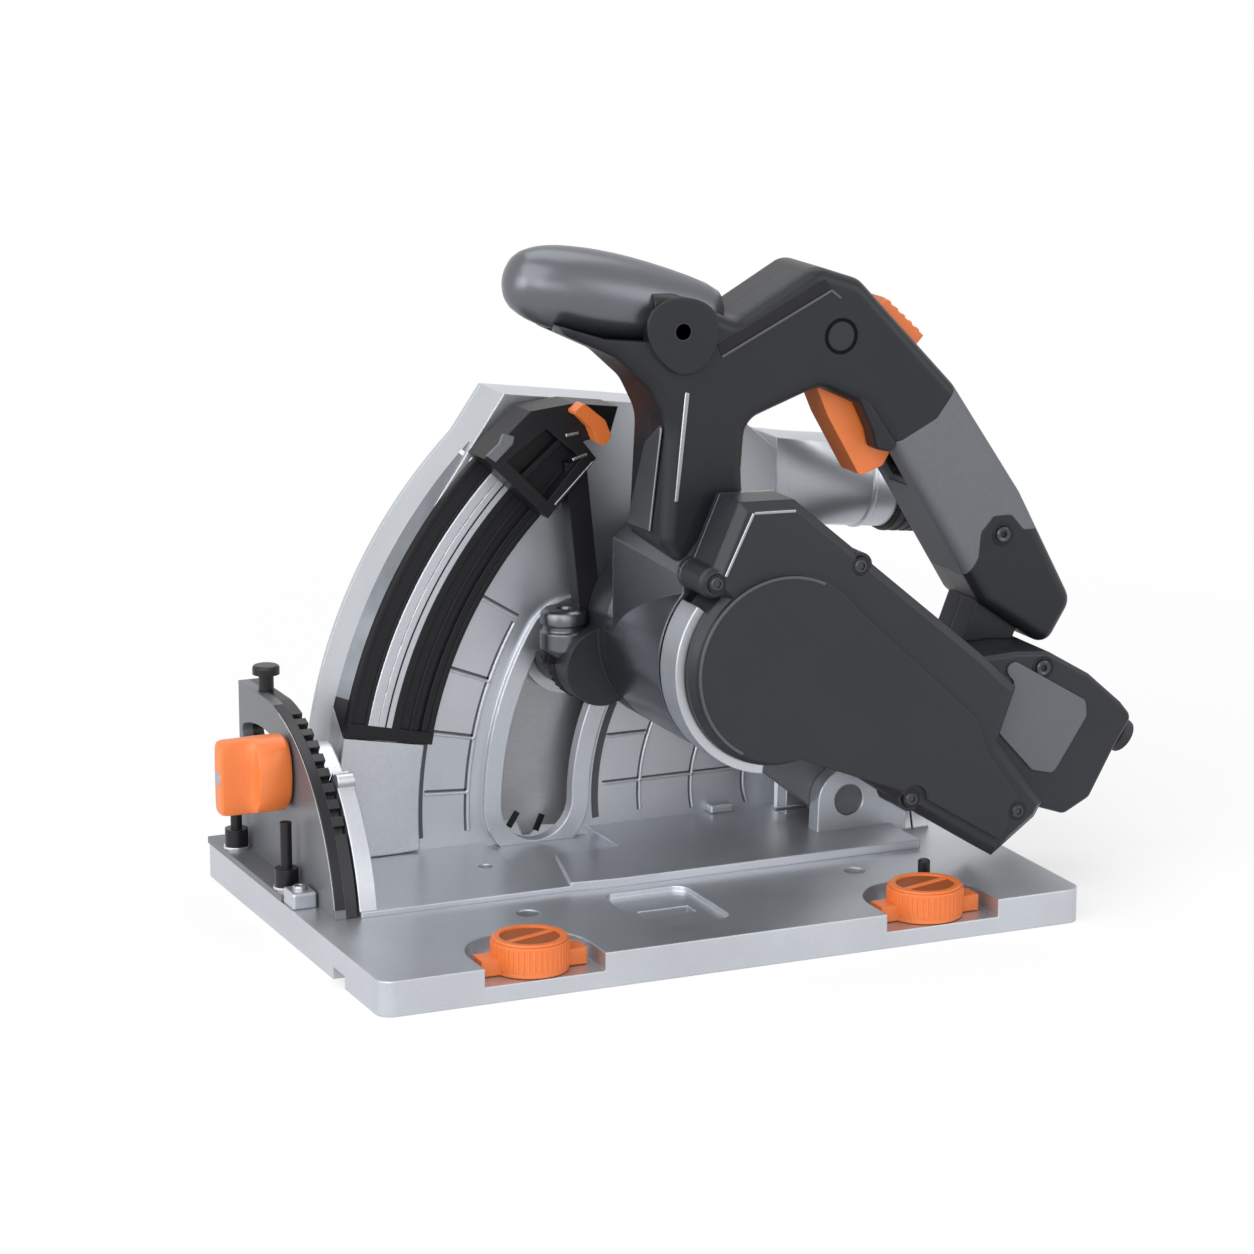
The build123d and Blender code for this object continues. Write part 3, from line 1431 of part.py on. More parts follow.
# Rear housing behind the cover, with its flush panel and the cable gland
rear_points = [
    (114.0, 97.0),
    (140.0, 97.8),
    (154.5, 96.4),
    (172.9, 85.6),
    (187.9, 72.5),
    (193.2, 66.0),
    (185.3, 54.2),
    (174.4, 34.7),
    (163.1, 29.0),
    (151.5, 33.0),
    (114.0, 54.0),
]
rear_height = rear_far_y - rear_near_y
gland_high = rear_points[5]
gland_low = rear_points[6]
gland_plane = Plane(
    origin=(
        (gland_high[0] + gland_low[0]) / 2,
        (rear_near_y + rear_far_y) / 2,
        (gland_high[1] + gland_low[1]) / 2,
    ),
    x_dir=(0, 1, 0),
    z_dir=(gland_high[1] - gland_low[1], 0, gland_low[0] - gland_high[0]),
)
with BuildPart() as rear_housing:
    with BuildSketch(side(rear_far_y)):
        rounded_polygon(rear_points, rear_edge)
    extrude(amount=rear_height)
    fillet(rear_housing.faces().sort_by(Axis.Y)[0].edges(), rear_edge / 2)
    fillet(rear_housing.faces().sort_by(Axis.Y)[-1].edges(), rear_edge / 2)
    with BuildSketch(side(rear_far_y - rear_wall)):
        rounded_polygon(rear_points, rear_edge)
        offset(amount=-rear_wall, mode=Mode.REPLACE)
    extrude(amount=rear_height - 2 * rear_wall, mode=Mode.SUBTRACT)
    with BuildSketch(side(housing_near_y)):
        cover_face(rear_part_gap)
    extrude(amount=housing_near_y - rear_near_y + 1, mode=Mode.SUBTRACT)
    with BuildSketch(gland_plane.offset(-gland_length)):
        Circle(gland_tip_radius + press_clearance)
    extrude(amount=2 * gland_length, mode=Mode.SUBTRACT)
finish(rear_housing, "rear_housing")

with BuildPart() as cable_gland:
    with BuildSketch(gland_plane.offset(seat_gap)):
        Circle(gland_radius)
    extrude(amount=gland_length, taper=6)
    with BuildSketch(gland_plane.offset(-gland_length / 2)):
        Circle(gland_tip_radius)
    extrude(amount=gland_length / 2 + 1)
    with BuildSketch(gland_plane.offset(-gland_length)):
        Circle(gland_bore)
    extrude(amount=3 * gland_length, mode=Mode.SUBTRACT)
finish(cable_gland, "cable_gland")

panel_points = [
    (132.5, 92.6),
    (139.0, 94.2),
    (170.6, 75.4),
    (171.3, 69.0),
    (156.7, 47.1),
    (147.0, 49.5),
    (131.5, 66.5),
    (138.6, 86.0),
]
with BuildPart() as rear_panel:
    with BuildSketch(side(rear_near_y)):
        rounded_polygon(panel_points, panel_corner)
    extrude(amount=panel_thickness)
finish(rear_panel, "rear_panel")

# Electronics in the side cover
module_plane = Plane(
    origin=(module_x, cover_far_y, module_z),
    x_dir=(cos(radians(module_lean)), 0, sin(radians(module_lean))),
    z_dir=(0, -1, 0),
)
with BuildPart() as control_module:
    with BuildSketch(module_plane):
        Rectangle(module_length, module_height)
    extrude(amount=cover_depth - cover_wall - seat_gap)
finish(control_module, "control_module")

# Handle: column, upper arm and grip in one bent shell, split down the middle
handle_corners = [
    (3.0, 141.0, 4.0),
    (-4.5, 150.0, 6.0),
    (-2.0, 196.0, 20.0),
    (-9.0, 210.0, 14.0),
    (-22.0, 222.0, 14.0),
    (-46.0, 233.5, 6.0),
    (-44.0, 250.0, 5.5),
    (2.0, 245.0, 8.0),
    (26.0, 233.5, 6.0),
    (60.0, 252.5, 9.0),
    (79.0, 246.0, 10.0),
    (120.5, 202.5, 20.0),
    (151.0, 157.5, 30.0),
    (175.5, 111.5, 8.0),
    (164.0, 93.0, 6.0),
    (134.0, 114.0, 8.0),
    (97.0, 175.0, 25.0),
    (82.0, 196.0, 8.0),
    (62.0, 205.5, 9.0),
    (31.0, 194.5, 9.0),
    (29.5, 176.0, 10.0),
    (33.0, motor[1], 8.0),
]
# Stem under the grip, down to the rear housing
stem_points = [
    (136.0, 118.0),
    (127.0, 95.0),
    (127.0, 86.0),
    (146.0, 86.0),
    (155.0, 108.0),
]
# What lies over this line belongs to the front grip
saddle_points = [
    (-62.0, 243.0),
    (-45.7, 236.0),
    (-28.0, 230.0),
    (-10.0, 228.0),
    (-8.0, 232.0),
    (-8.0, 262.0),
    (-62.0, 270.0),
]


def handle_face(grow=0.0):
    """Side view of the handle, in the sketch that is open."""
    points = [(x, z) for x, z, radius in handle_corners]
    rounded_polygon(points, [radius for x, z, radius in handle_corners])
    if grow:
        offset(amount=grow, mode=Mode.REPLACE)


sleeve_points = [
    (60.0, 172.0),
    (97.0, 182.5),
    (112.0, 190.0),
    (124.0, 206.0),
    (150.0, 216.0),
    (190.0, 141.0),
    (151.5, 142.5),
    (146.0, 149.0),
    (138.0, 149.0),
    (132.5, 143.0),
    (131.5, 133.0),
    (127.0, 125.5),
    (118.0, 108.0),
    (100.0, 100.0),
]
egg_axis_angle = degrees(atan2(egg_end_z - egg_tip_z, egg_end_x - egg_tip_x))
egg_length = hypot(egg_end_x - egg_tip_x, egg_end_z - egg_tip_z)
egg_plane = Plane(
    origin=(egg_tip_x, handle_mid_y, egg_tip_z),
    x_dir=(cos(radians(egg_axis_angle)), 0, sin(radians(egg_axis_angle))),
    z_dir=(0, -1, 0),
)


def egg(grow=0.0):
    """Egg-shaped front grip turned about its own axis, in the part that is open."""
    with BuildSketch(egg_plane) as profile:
        with BuildLine() as outline:
            Spline(
                (-grow, 0),
                (egg_length * egg_nose_share, egg_nose_radius + grow),
                (egg_length * egg_middle_share, egg_radius + grow),
                (egg_length * egg_shoulder_share, egg_shoulder_radius + grow),
                (egg_length, egg_end_radius + grow),
                tangents=[(0, 1), (1, egg_end_slope)],
            )
            Polyline((egg_length, egg_end_radius + grow), (egg_length + grow, 0), (-grow, 0))
        make_face(outline.edges())
    revolve(profile.sketch, axis=Axis(egg_plane.origin, egg_plane.x_dir))


with BuildPart(mode=Mode.PRIVATE) as egg_room:
    egg(handle_gap)

lock_angle = -43.0
lock_plane = Plane(
    origin=(lock_x, handle_mid_y, lock_z),
    x_dir=(cos(radians(lock_angle)), 0, sin(radians(lock_angle))),
    z_dir=(-sin(radians(lock_angle)), 0, cos(radians(lock_angle))),
)
hub_spot = (hub_x, hub_z)
trigger_pin_spot = (trigger_pin_x, trigger_pin_z)
trigger_pin_seat_y = handle_near_y + trigger_pin_head_depth
trigger_points = [
    (63.0, 226.0),
    (70.0, 232.0),
    (77.5, 227.0),
    (80.0, 211.0),
    (100.0, 181.0),
    (94.0, 171.0),
    (84.0, 167.5),
    (70.0, 192.0),
    (64.0, 206.0),
]
trigger_room_points = [
    (58.0, 198.0),
    (62.0, 214.0),
    (90.0, 216.0),
    (114.0, 184.0),
    (106.0, 162.0),
    (80.0, 162.0),
]

with BuildPart(mode=Mode.PRIVATE) as handle_solid:
    with BuildSketch(side(handle_far_y)):
        handle_face()
    extrude(amount=2 * handle_half)
    fillet(handle_solid.faces().sort_by(Axis.Y)[0].edges(), handle_round)
    fillet(handle_solid.faces().sort_by(Axis.Y)[-1].edges(), handle_round)
    with BuildSketch(side(stem_far_y)):
        polygon(stem_points)
    extrude(amount=stem_depth)
    with BuildSketch(side(handle_far_y)):
        polygon(saddle_points)
    extrude(amount=2 * handle_half, mode=Mode.SUBTRACT)
    disc_between(hub_spot, hub_boss_radius, handle_far_y + hub_boss_proud, handle_near_y - hub_boss_proud)
    disc_between(motor, case_radius + seat_gap, handle_far_y + 1, handle_near_y - 1, Mode.SUBTRACT)
    shoulder(seat_gap, Mode.SUBTRACT)
    with BuildSketch(side(rear_far_y + seat_gap)):
        rounded_polygon(rear_points, rear_edge)
        offset(amount=seat_gap, mode=Mode.REPLACE)
    extrude(amount=rear_height, mode=Mode.SUBTRACT)
    add(egg_room.part, mode=Mode.SUBTRACT)

with BuildPart(mode=Mode.PRIVATE) as handle_core:
    with BuildSketch(side(handle_far_y - handle_wall)):
        handle_face(-handle_wall)
    extrude(amount=2 * (handle_half - handle_wall))

with BuildPart(mode=Mode.PRIVATE) as grip_zone:
    with BuildSketch(side(handle_far_y + handle_half)):
        rounded_polygon(sleeve_points, handle_round / 2)
    extrude(amount=4 * handle_half)

with BuildPart(mode=Mode.PRIVATE) as grip_core:
    with BuildSketch(side(handle_far_y - grip_sleeve_depth)):
        handle_face(-grip_sleeve_depth)
    extrude(amount=2 * (handle_half - grip_sleeve_depth))

with BuildPart(mode=Mode.PRIVATE) as trigger_room:
    with BuildSketch(side(handle_mid_y + trigger_width / 2 + trigger_gap)):
        polygon(trigger_room_points)
    extrude(amount=trigger_width + 2 * trigger_gap)

with BuildPart() as soft_grip:
    add(handle_solid.part)
    add(grip_zone.part, mode=Mode.INTERSECT)
    add(grip_core.part, mode=Mode.SUBTRACT)
    add(trigger_room.part, mode=Mode.SUBTRACT)
finish(soft_grip, "soft_grip")

with BuildPart(mode=Mode.PRIVATE) as handle_shell:
    add(handle_solid.part)
    add(handle_core.part, mode=Mode.SUBTRACT)
    add(grip_zone.part - grip_core.part, mode=Mode.SUBTRACT)
    add(trigger_room.part, mode=Mode.SUBTRACT)
    with BuildSketch(lock_plane.offset(-lock_proud - lock_travel - slide_gap)):
        Rectangle(lock_length + 2 * slide_gap, lock_width + 2 * slide_gap)
    extrude(amount=3 * lock_proud + lock_travel, mode=Mode.SUBTRACT)
    pin_hole = trigger_pin_radius + press_clearance
    disc_between(trigger_pin_spot, pin_hole, handle_far_y, handle_near_y, Mode.SUBTRACT)
    pin_head_hole = trigger_pin_head + seat_gap
    disc_between(trigger_pin_spot, pin_head_hole, trigger_pin_seat_y, handle_near_y, Mode.SUBTRACT)
    disc_between(hub_spot, egg_bolt_radius + press_clearance, handle_far_y + hub_boss_proud,
                 handle_near_y - hub_boss_proud, Mode.SUBTRACT)

handle_split = side(handle_mid_y)
for keep, half_name in ((Keep.TOP, "handle_near"), (Keep.BOTTOM, "handle_far")):
    with BuildPart() as handle_piece:
        add(handle_shell.part)
        split(bisect_by=handle_split, keep=keep)
    finish(handle_piece, half_name)

# Front grip and its cross bolt
with BuildPart() as front_handle:
    egg()
    disc_between(hub_spot, egg_bolt_radius + press_clearance, handle_far_y, handle_near_y, Mode.SUBTRACT)
finish(front_handle, "front_handle")

with BuildPart() as front_handle_bolt:
    disc_between(hub_spot, egg_bolt_radius, handle_far_y - hub_boss_proud, handle_near_y + hub_boss_proud)
finish(front_handle_bolt, "front_handle_bolt")

# Trigger, its pin, the lock-off button and the switch
with BuildPart() as trigger:
    with BuildSketch(side(handle_mid_y + trigger_width / 2)):
        rounded_polygon(trigger_points, trigger_corner)
    extrude(amount=trigger_width)
    pin_bore = trigger_pin_radius + running_clearance
    disc_between(trigger_pin_spot, pin_bore, handle_far_y, handle_near_y, Mode.SUBTRACT)
finish(trigger, "trigger")

with BuildPart() as trigger_pin:
    disc_between(trigger_pin_spot, trigger_pin_radius, handle_far_y - seat_gap, handle_near_y + 1)
    disc_between(trigger_pin_spot, trigger_pin_head, trigger_pin_seat_y, handle_near_y)
finish(trigger_pin, "trigger_pin")

with BuildPart() as lockoff_button:
    with BuildSketch(lock_plane.offset(-lock_proud)):
        Rectangle(lock_length, lock_width)
    extrude(amount=2 * lock_proud)
    fillet(lockoff_button.edges().group_by(SortBy.LENGTH)[0], lock_corner)
finish(lockoff_button, "lockoff_button")

with BuildPart() as switch_module:
    switch_width = 2 * (handle_half - handle_wall - seat_gap)
    with BuildSketch(Plane(origin=(switch_x, handle_mid_y, switch_z),
                           x_dir=(cos(radians(grip_angle)), 0, sin(radians(grip_angle))),
                           z_dir=(0, -1, 0))):
        Rectangle(switch_length, switch_height)
    extrude(amount=switch_width / 2, both=True)
finish(switch_module, "switch_module")

# Depth stop: block on the track, strut down to the neck, and its lever
block_far_y = scale_near_y - block_gap
block_near_y = block_far_y - block_depth
strut_far_y = case_far_y + slide_gap + strut_depth
lever_spot = swing(lever_radius, lever_angle)
with BuildPart() as depth_block:
    with BuildSketch(side(block_far_y)):
        polygon([swing(*corner) for corner in block_corners])
    extrude(amount=block_depth)
    with BuildSketch(side(block_near_y + block_pocket_depth)):
        polygon([swing(*corner) for corner in block_pocket])
    extrude(amount=block_pocket_depth, mode=Mode.SUBTRACT)
    with BuildSketch(side(block_near_y + block_pocket_depth)):
        polygon([swing(*corner) for corner in block_rib])
    extrude(amount=block_rib_height)
    with BuildSketch(side(strut_far_y)):
        strut_top = swing(strut_top_radius, strut_top_angle)
        strut_foot = (arbor[0], arbor[1] + neck_radius + saddle_wall / 2)
        strut_half = strut_width / 2
        polygon([
            (strut_top[0] - strut_half, strut_top[1]),
            (strut_top[0] + strut_half, strut_top[1]),
            (strut_foot[0] + strut_half, strut_foot[1]),
            (strut_foot[0] - strut_half, strut_foot[1]),
        ])
        sector(arbor, neck_radius + seat_gap, neck_radius + saddle_wall, 0, 180)
    extrude(amount=strut_depth)
    disc_between(arbor, neck_radius + seat_gap, block_far_y, case_far_y, Mode.SUBTRACT)
    lever_hole = lever_pin_radius + running_clearance
    disc_between(lever_spot, lever_hole, block_near_y + lever_pin_length, block_near_y, Mode.SUBTRACT)
finish(depth_block, "depth_block")

with BuildPart() as depth_lever:
    with BuildSketch(side(block_near_y - slide_gap)):
        points = [(lever_spot[0] + x, lever_spot[1] + z) for x, z in lever_corners]
        rounded_polygon(points, lever_rounding)
    extrude(amount=lever_depth)
    lever_pin_far_y = block_near_y + lever_pin_length - slide_gap
    disc_between(lever_spot, lever_pin_radius, lever_pin_far_y, block_near_y - slide_gap)
finish(depth_lever, "depth_lever")

# Plunge return spring: a torsion coil round the pivot pin, wound in half turns
coil_start_y = arm_far_y + spring_wire / 2 + slide_gap
coil_points = []
for quarter in range(2 * spring_half_turns + 1):
    x, z = around(pivot, spring_radius, 90 - 90 * quarter)
    coil_points.append((x, coil_start_y + spring_pitch * quarter / 4, z))
with BuildPart() as plunge_spring:
    with BuildLine() as coil:
        first = coil_points[0]
        last = coil_points[-1]
        Line((first[0] - spring_leg, first[1], first[2]), first)
        for half_turn in range(spring_half_turns):
            ThreePointArc(*coil_points[2 * half_turn:2 * half_turn + 3])
        Line(last, (last[0] - spring_leg, last[1], last[2]))
    with BuildSketch(Plane(origin=coil.line @ 0, z_dir=coil.line % 0)):
        Circle(spring_wire / 2)
    sweep()
finish(plunge_spring, "plunge_spring")
coil_gap = spring_pitch - spring_wire
print("spring: least gap between turns", round(coil_gap, 3))
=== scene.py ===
import bpy
import bmesh
import json
import math
from mathutils import Matrix, Vector


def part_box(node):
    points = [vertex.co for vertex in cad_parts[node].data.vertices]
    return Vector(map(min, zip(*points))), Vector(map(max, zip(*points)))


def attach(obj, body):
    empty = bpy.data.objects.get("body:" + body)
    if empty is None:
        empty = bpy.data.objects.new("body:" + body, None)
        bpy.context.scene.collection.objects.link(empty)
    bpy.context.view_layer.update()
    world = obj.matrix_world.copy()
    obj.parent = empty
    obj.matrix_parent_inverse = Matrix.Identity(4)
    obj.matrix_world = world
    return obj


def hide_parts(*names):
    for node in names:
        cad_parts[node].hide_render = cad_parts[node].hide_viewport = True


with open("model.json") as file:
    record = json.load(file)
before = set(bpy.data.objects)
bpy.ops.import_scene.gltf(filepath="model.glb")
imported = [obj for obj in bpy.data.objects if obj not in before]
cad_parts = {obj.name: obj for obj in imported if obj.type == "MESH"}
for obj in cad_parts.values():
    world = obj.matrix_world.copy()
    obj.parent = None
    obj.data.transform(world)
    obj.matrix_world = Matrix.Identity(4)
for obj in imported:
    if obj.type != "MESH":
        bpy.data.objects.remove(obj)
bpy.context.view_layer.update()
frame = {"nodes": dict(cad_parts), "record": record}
nodes = frame["nodes"]
SLOT_OF = {part["node"]: part["material_slot"] for part in frame["record"]["subparts"]}
MM = 0.001

# Camera of the photograph, in metres and degrees
CAMERA_PLACE = (-0.6366, -1.4289, 0.4812)
CAMERA_AZIMUTH = -23.89
CAMERA_ELEVATION = 13.36
CAMERA_LENS = 118.45
CAMERA_SENSOR = 36.0
CAMERA_REACH = 50.0

# Lamps: place, target, size and power
LAMPS = {
    "key": ((-1.1, -0.9, 1.2), (0, 0, 0.1), (2.4, 2.4), 33),
    "top": ((0.3, 0.5, 1.8), (0, 0, 0.1), (1.6, 1.2), 11),
    "fill": ((1.4, -1.5, 0.7), (0, 0, 0.12), (1.4, 1.0), 9),
    "left": ((-2.1, -0.3, 0.5), (0, 0, 0.1), (1.8, 0.9), 12),
    "front": ((-0.5, -2.2, 0.5), (0, 0, 0.12), (1.6, 0.8), 7),
}
SKY_COLOUR = (0.93, 0.95, 1.0, 1)
SKY_STRENGTH = 0.38
WHITE = (1, 1, 1, 1)
FLOOR_COLOUR = (0.93, 0.93, 0.935, 1)
FLOOR_REACH = 6.0
FLOOR_GLOW = (0.62, 1.0)          # share of plain white near the saw and far from it
FLOOR_FADE = (0.15, 0.75)         # distances between which that share grows

# Colours, linear
ALUMINIUM = (0.50, 0.52, 0.555)
DARK_ALUMINIUM = (0.13, 0.135, 0.148)
BRIGHT = (0.66, 0.67, 0.69)
STEEL = (0.42, 0.43, 0.45)
BLADE_GREY = (0.34, 0.345, 0.36)
# Lighter grey of strips that are painted highlights
HIGHLIGHT_GREY = (0.34, 0.35, 0.375)
RIM_GREY = (0.085, 0.09, 0.10)
# Grey of the flat strips of painted shade in the guard's grooves
GROOVE_SHADE_GREY = (0.075, 0.079, 0.088)
BLACK = (0.008, 0.0083, 0.0098)
BRIGHT_BLACK = (0.06, 0.062, 0.068)
SHADOW = (0.002, 0.002, 0.0022)
CHARCOAL = (0.017, 0.0187, 0.0228)
HANDLE = (0.0115, 0.0126, 0.0155)
GUNMETAL = (0.125, 0.131, 0.148)
# Grey of the column facet plate, a painted highlight
FACET_HIGHLIGHT_GREY = (0.10, 0.104, 0.113)
# Grey of softer strips that are painted highlights
SOFT_HIGHLIGHT_GREY = (0.085, 0.089, 0.098)
GRIP_GREY = (0.105, 0.111, 0.125)
PANEL_GREY = (0.088, 0.093, 0.105)
EGG_GREY = (0.125, 0.131, 0.146)
ORANGE = (0.71, 0.172, 0.037)
# Orange darkened as painted shade in the cam dishes
DISH_SHADE_ORANGE = (0.27, 0.062, 0.010)
RUBBER = (0.012, 0.012, 0.014)
BRONZE = (0.50, 0.33, 0.15)
COPPER = (0.62, 0.28, 0.13)
CORE = (0.14, 0.14, 0.15)
CARBON = (0.02, 0.02, 0.02)

# Values that the materials share, lengths in metres
PATCH_SCALE = 14.0
PATCH_DEPTH = 0.07
PATCH_RANGE = (0.3, 0.7)
GRAIN_RANGE = (0.35, 0.65)
GRAIN_RELIEF = 0.0002
SHINE_SPREAD = 0.05
LEAST_ROUGHNESS = 0.03
EDGE_SAMPLES = 4
EDGE_RANGE = (0.99, 0.8)
TEETH_FROM = -0.1297              # x behind which the quadrant is dark
TEETH_BLEND = 0.0002
TEETH_SHARE = 0.12


def noise(tree, place, scale, detail, roughness):
    """Output of a noise texture."""
    made = tree.nodes.new("ShaderNodeTexNoise")
    made.inputs["Scale"].default_value = scale
    made.inputs["Detail"].default_value = detail
    made.inputs["Roughness"].default_value = roughness
    tree.links.new(place, made.inputs["Vector"])
    return made.outputs["Fac"]


def remap(tree, value, before, after):
    """Output that carries a value from one range over to another."""
    made = tree.nodes.new("ShaderNodeMapRange")
    made.inputs["From Min"].default_value = before[0]
    made.inputs["From Max"].default_value = before[1]
    made.inputs["To Min"].default_value = after[0]
    made.inputs["To Max"].default_value = after[1]
    tree.links.new(value, made.inputs["Value"])
    return made.outputs["Result"]


def reckon(tree, operation, first, second):
    """Output of one sum with two values."""
    made = tree.nodes.new("ShaderNodeMath")
    made.operation = operation
    tree.links.new(first, made.inputs[0])
    tree.links.new(second, made.inputs[1])
    return made.outputs["Value"]


def scaled(tree, tint, factor):
    """Output of a colour, or of another node's colour, times a factor."""
    made = tree.nodes.new("ShaderNodeVectorMath")
    made.operation = "SCALE"
    if isinstance(tint, tuple):
        made.inputs[0].default_value = tint
    else:
        tree.links.new(tint, made.inputs[0])
    tree.links.new(factor, made.inputs["Scale"])
    return made.outputs["Vector"]


def edge_highlight_share(tree, soft, gain):
    """Output that is 1 on flat surfaces and more on rounded edges, where it lightens the colour partly as
    wear and partly as painted highlight.
    """
    shape = tree.nodes.new("ShaderNodeNewGeometry")
    turn = tree.nodes.new("ShaderNodeVectorMath")
    turn.operation = "DOT_PRODUCT"
    tree.links.new(soft, turn.inputs[0])
    tree.links.new(shape.outputs["Normal"], turn.inputs[1])
    return remap(tree, turn.outputs["Value"], EDGE_RANGE, (1.0, 1.0 + gain))


def material(name, colour, metallic, roughness, spread, grain, bump, edge=0.0, edge_highlight_gain=0.0, specular=0.5,
             stretch=(1, 1, 1), dark_from=None):
    """Surface with grain, a slow change of tone and shine, and softened edges lightened partly as wear and
    partly as painted highlight.
    """
    made = bpy.data.materials.new(name)
    made.use_nodes = True
    tree = made.node_tree
    shader = tree.nodes["Principled BSDF"]
    shader.inputs["Metallic"].default_value = metallic
    shader.inputs["Specular IOR Level"].default_value = specular
    place = tree.nodes.new("ShaderNodeTexCoord").outputs["Object"]
    scale = tree.nodes.new("ShaderNodeMapping")
    scale.inputs["Scale"].default_value = stretch
    tree.links.new(place, scale.inputs["Vector"])
    slow = noise(tree, place, PATCH_SCALE, 5.0, 0.6)
    fine = noise(tree, scale.outputs["Vector"], grain, 3.0, 0.55)
    tone = remap(tree, slow, PATCH_RANGE, (1.0 - PATCH_DEPTH, 1.0 + PATCH_DEPTH))
    speck = remap(tree, fine, GRAIN_RANGE, (1.0 - spread, 1.0 + spread))
    tint = scaled(tree, colour, reckon(tree, "MULTIPLY", tone, speck))
    shine = (max(LEAST_ROUGHNESS, roughness - SHINE_SPREAD), min(1.0, roughness + SHINE_SPREAD))
    tree.links.new(remap(tree, slow, PATCH_RANGE, shine), shader.inputs["Roughness"])
    ridge = tree.nodes.new("ShaderNodeBump")
    ridge.inputs["Strength"].default_value = bump
    ridge.inputs["Distance"].default_value = GRAIN_RELIEF
    tree.links.new(fine, ridge.inputs["Height"])
    if edge:
        soft = tree.nodes.new("ShaderNodeBevel")
        soft.samples = EDGE_SAMPLES
        soft.inputs["Radius"].default_value = edge
        tree.links.new(soft.outputs["Normal"], ridge.inputs["Normal"])
        # Lighter colour on rounded edges: partly wear, partly painted highlight
        if edge_highlight_gain:
            tint = scaled(tree, tint, edge_highlight_share(tree, soft.outputs["Normal"], edge_highlight_gain))
    if dark_from is not None:
        axes = tree.nodes.new("ShaderNodeSeparateXYZ")
        tree.links.new(place, axes.inputs["Vector"])
        behind = remap(tree, axes.outputs["X"], (dark_from, dark_from + TEETH_BLEND), (1.0, TEETH_SHARE))
        tint = scaled(tree, tint, behind)
    tree.links.new(tint, shader.inputs["Base Color"])
    tree.links.new(ridge.outputs["Normal"], shader.inputs["Normal"])
    return made


# Metals: colour, metallic, roughness, spread of the grain, its scale and its bump
cast = material("cast_aluminium", ALUMINIUM, 0.85, 0.36, 0.05, 1500, 0.10, edge=0.0009, edge_highlight_gain=0.25)
machined = material(
    "machined_aluminium", BRIGHT, 0.9, 0.30, 0.05, 700, 0.05, stretch=(0.05, 1, 1), edge=0.0005,
)
dark_cast = material(
    "dark_aluminium", DARK_ALUMINIUM, 0.25, 0.40, 0.05, 1500, 0.08, edge=0.0007, edge_highlight_gain=0.3,
)
toothed = material(
    "toothed_quadrant", DARK_ALUMINIUM, 0.25, 0.40, 0.05, 1500, 0.08, edge=0.0007, edge_highlight_gain=0.3,
    dark_from=TEETH_FROM,
)
# Flat dark strips of painted shade in the guard's grooves
groove_shade = material("painted_groove_shade", GROOVE_SHADE_GREY, 0.2, 0.55, 0.08, 1500, 0.1)
rim_metal = material("rim_metal", RIM_GREY, 0.9, 0.27, 0.12, 60, 0.03)
# Lighter metal strips laid on edges, creases and joints as painted highlights
painted_highlight = material("painted_highlight_edge", HIGHLIGHT_GREY, 0.9, 0.26, 0.04, 1800, 0.05)
gunmetal = material("gunmetal", GUNMETAL, 0.9, 0.25, 0.05, 1800, 0.06, edge=0.0010, edge_highlight_gain=0.3)
steel = material("steel", STEEL, 1.0, 0.32, 0.06, 900, 0.05, stretch=(1, 0.1, 1), edge=0.0004)
bright = material("bright_steel", BRIGHT, 0.95, 0.24, 0.04, 900, 0.04, stretch=(0.15, 1, 1), edge=0.0004)
black_steel = material("black_steel", BLACK, 0.35, 0.34, 0.12, 1200, 0.06, edge=0.0004, edge_highlight_gain=0.8)
bright_black = material("bright_black_steel", BRIGHT_BLACK, 0.8, 0.24, 0.06, 1200, 0.05)
blade_steel = material("blade_steel", BLADE_GREY, 0.9, 0.40, 0.03, 900, 0.03, stretch=(0.3, 1, 1))
bronze = material("bronze", BRONZE, 1.0, 0.42, 0.10, 900, 0.1)
copper = material("copper", COPPER, 1.0, 0.35, 0.15, 600, 0.3, stretch=(1, 0.05, 1))
core = material("core_steel", CORE, 0.9, 0.5, 0.15, 800, 0.3, stretch=(0.05, 1, 0.05))

# Plastics, rubber and carbon
charcoal = material(
    "charcoal_plastic", CHARCOAL, 0.0, 0.38, 0.10, 1800, 0.16, edge=0.0010, edge_highlight_gain=0.5, specular=0.32,
)
handle_paint = material(
    "handle_paint", HANDLE, 0.0, 0.38, 0.08, 1800, 0.10, edge=0.0012, edge_highlight_gain=0.8, specular=0.3,
)
black_plastic = material(
    "black_plastic", BLACK, 0.0, 0.42, 0.10, 1800, 0.12, edge=0.0006, edge_highlight_gain=0.5, specular=0.25,
)
shadow_gap = material("shadow_gap", SHADOW, 0.0, 0.7, 0.05, 1500, 0.05, specular=0.1)
# Lighter plate on the column's facet as a painted highlight
facet_painted_highlight = material("facet_painted_highlight", FACET_HIGHLIGHT_GREY, 0.6, 0.30, 0.05, 1800, 0.06)
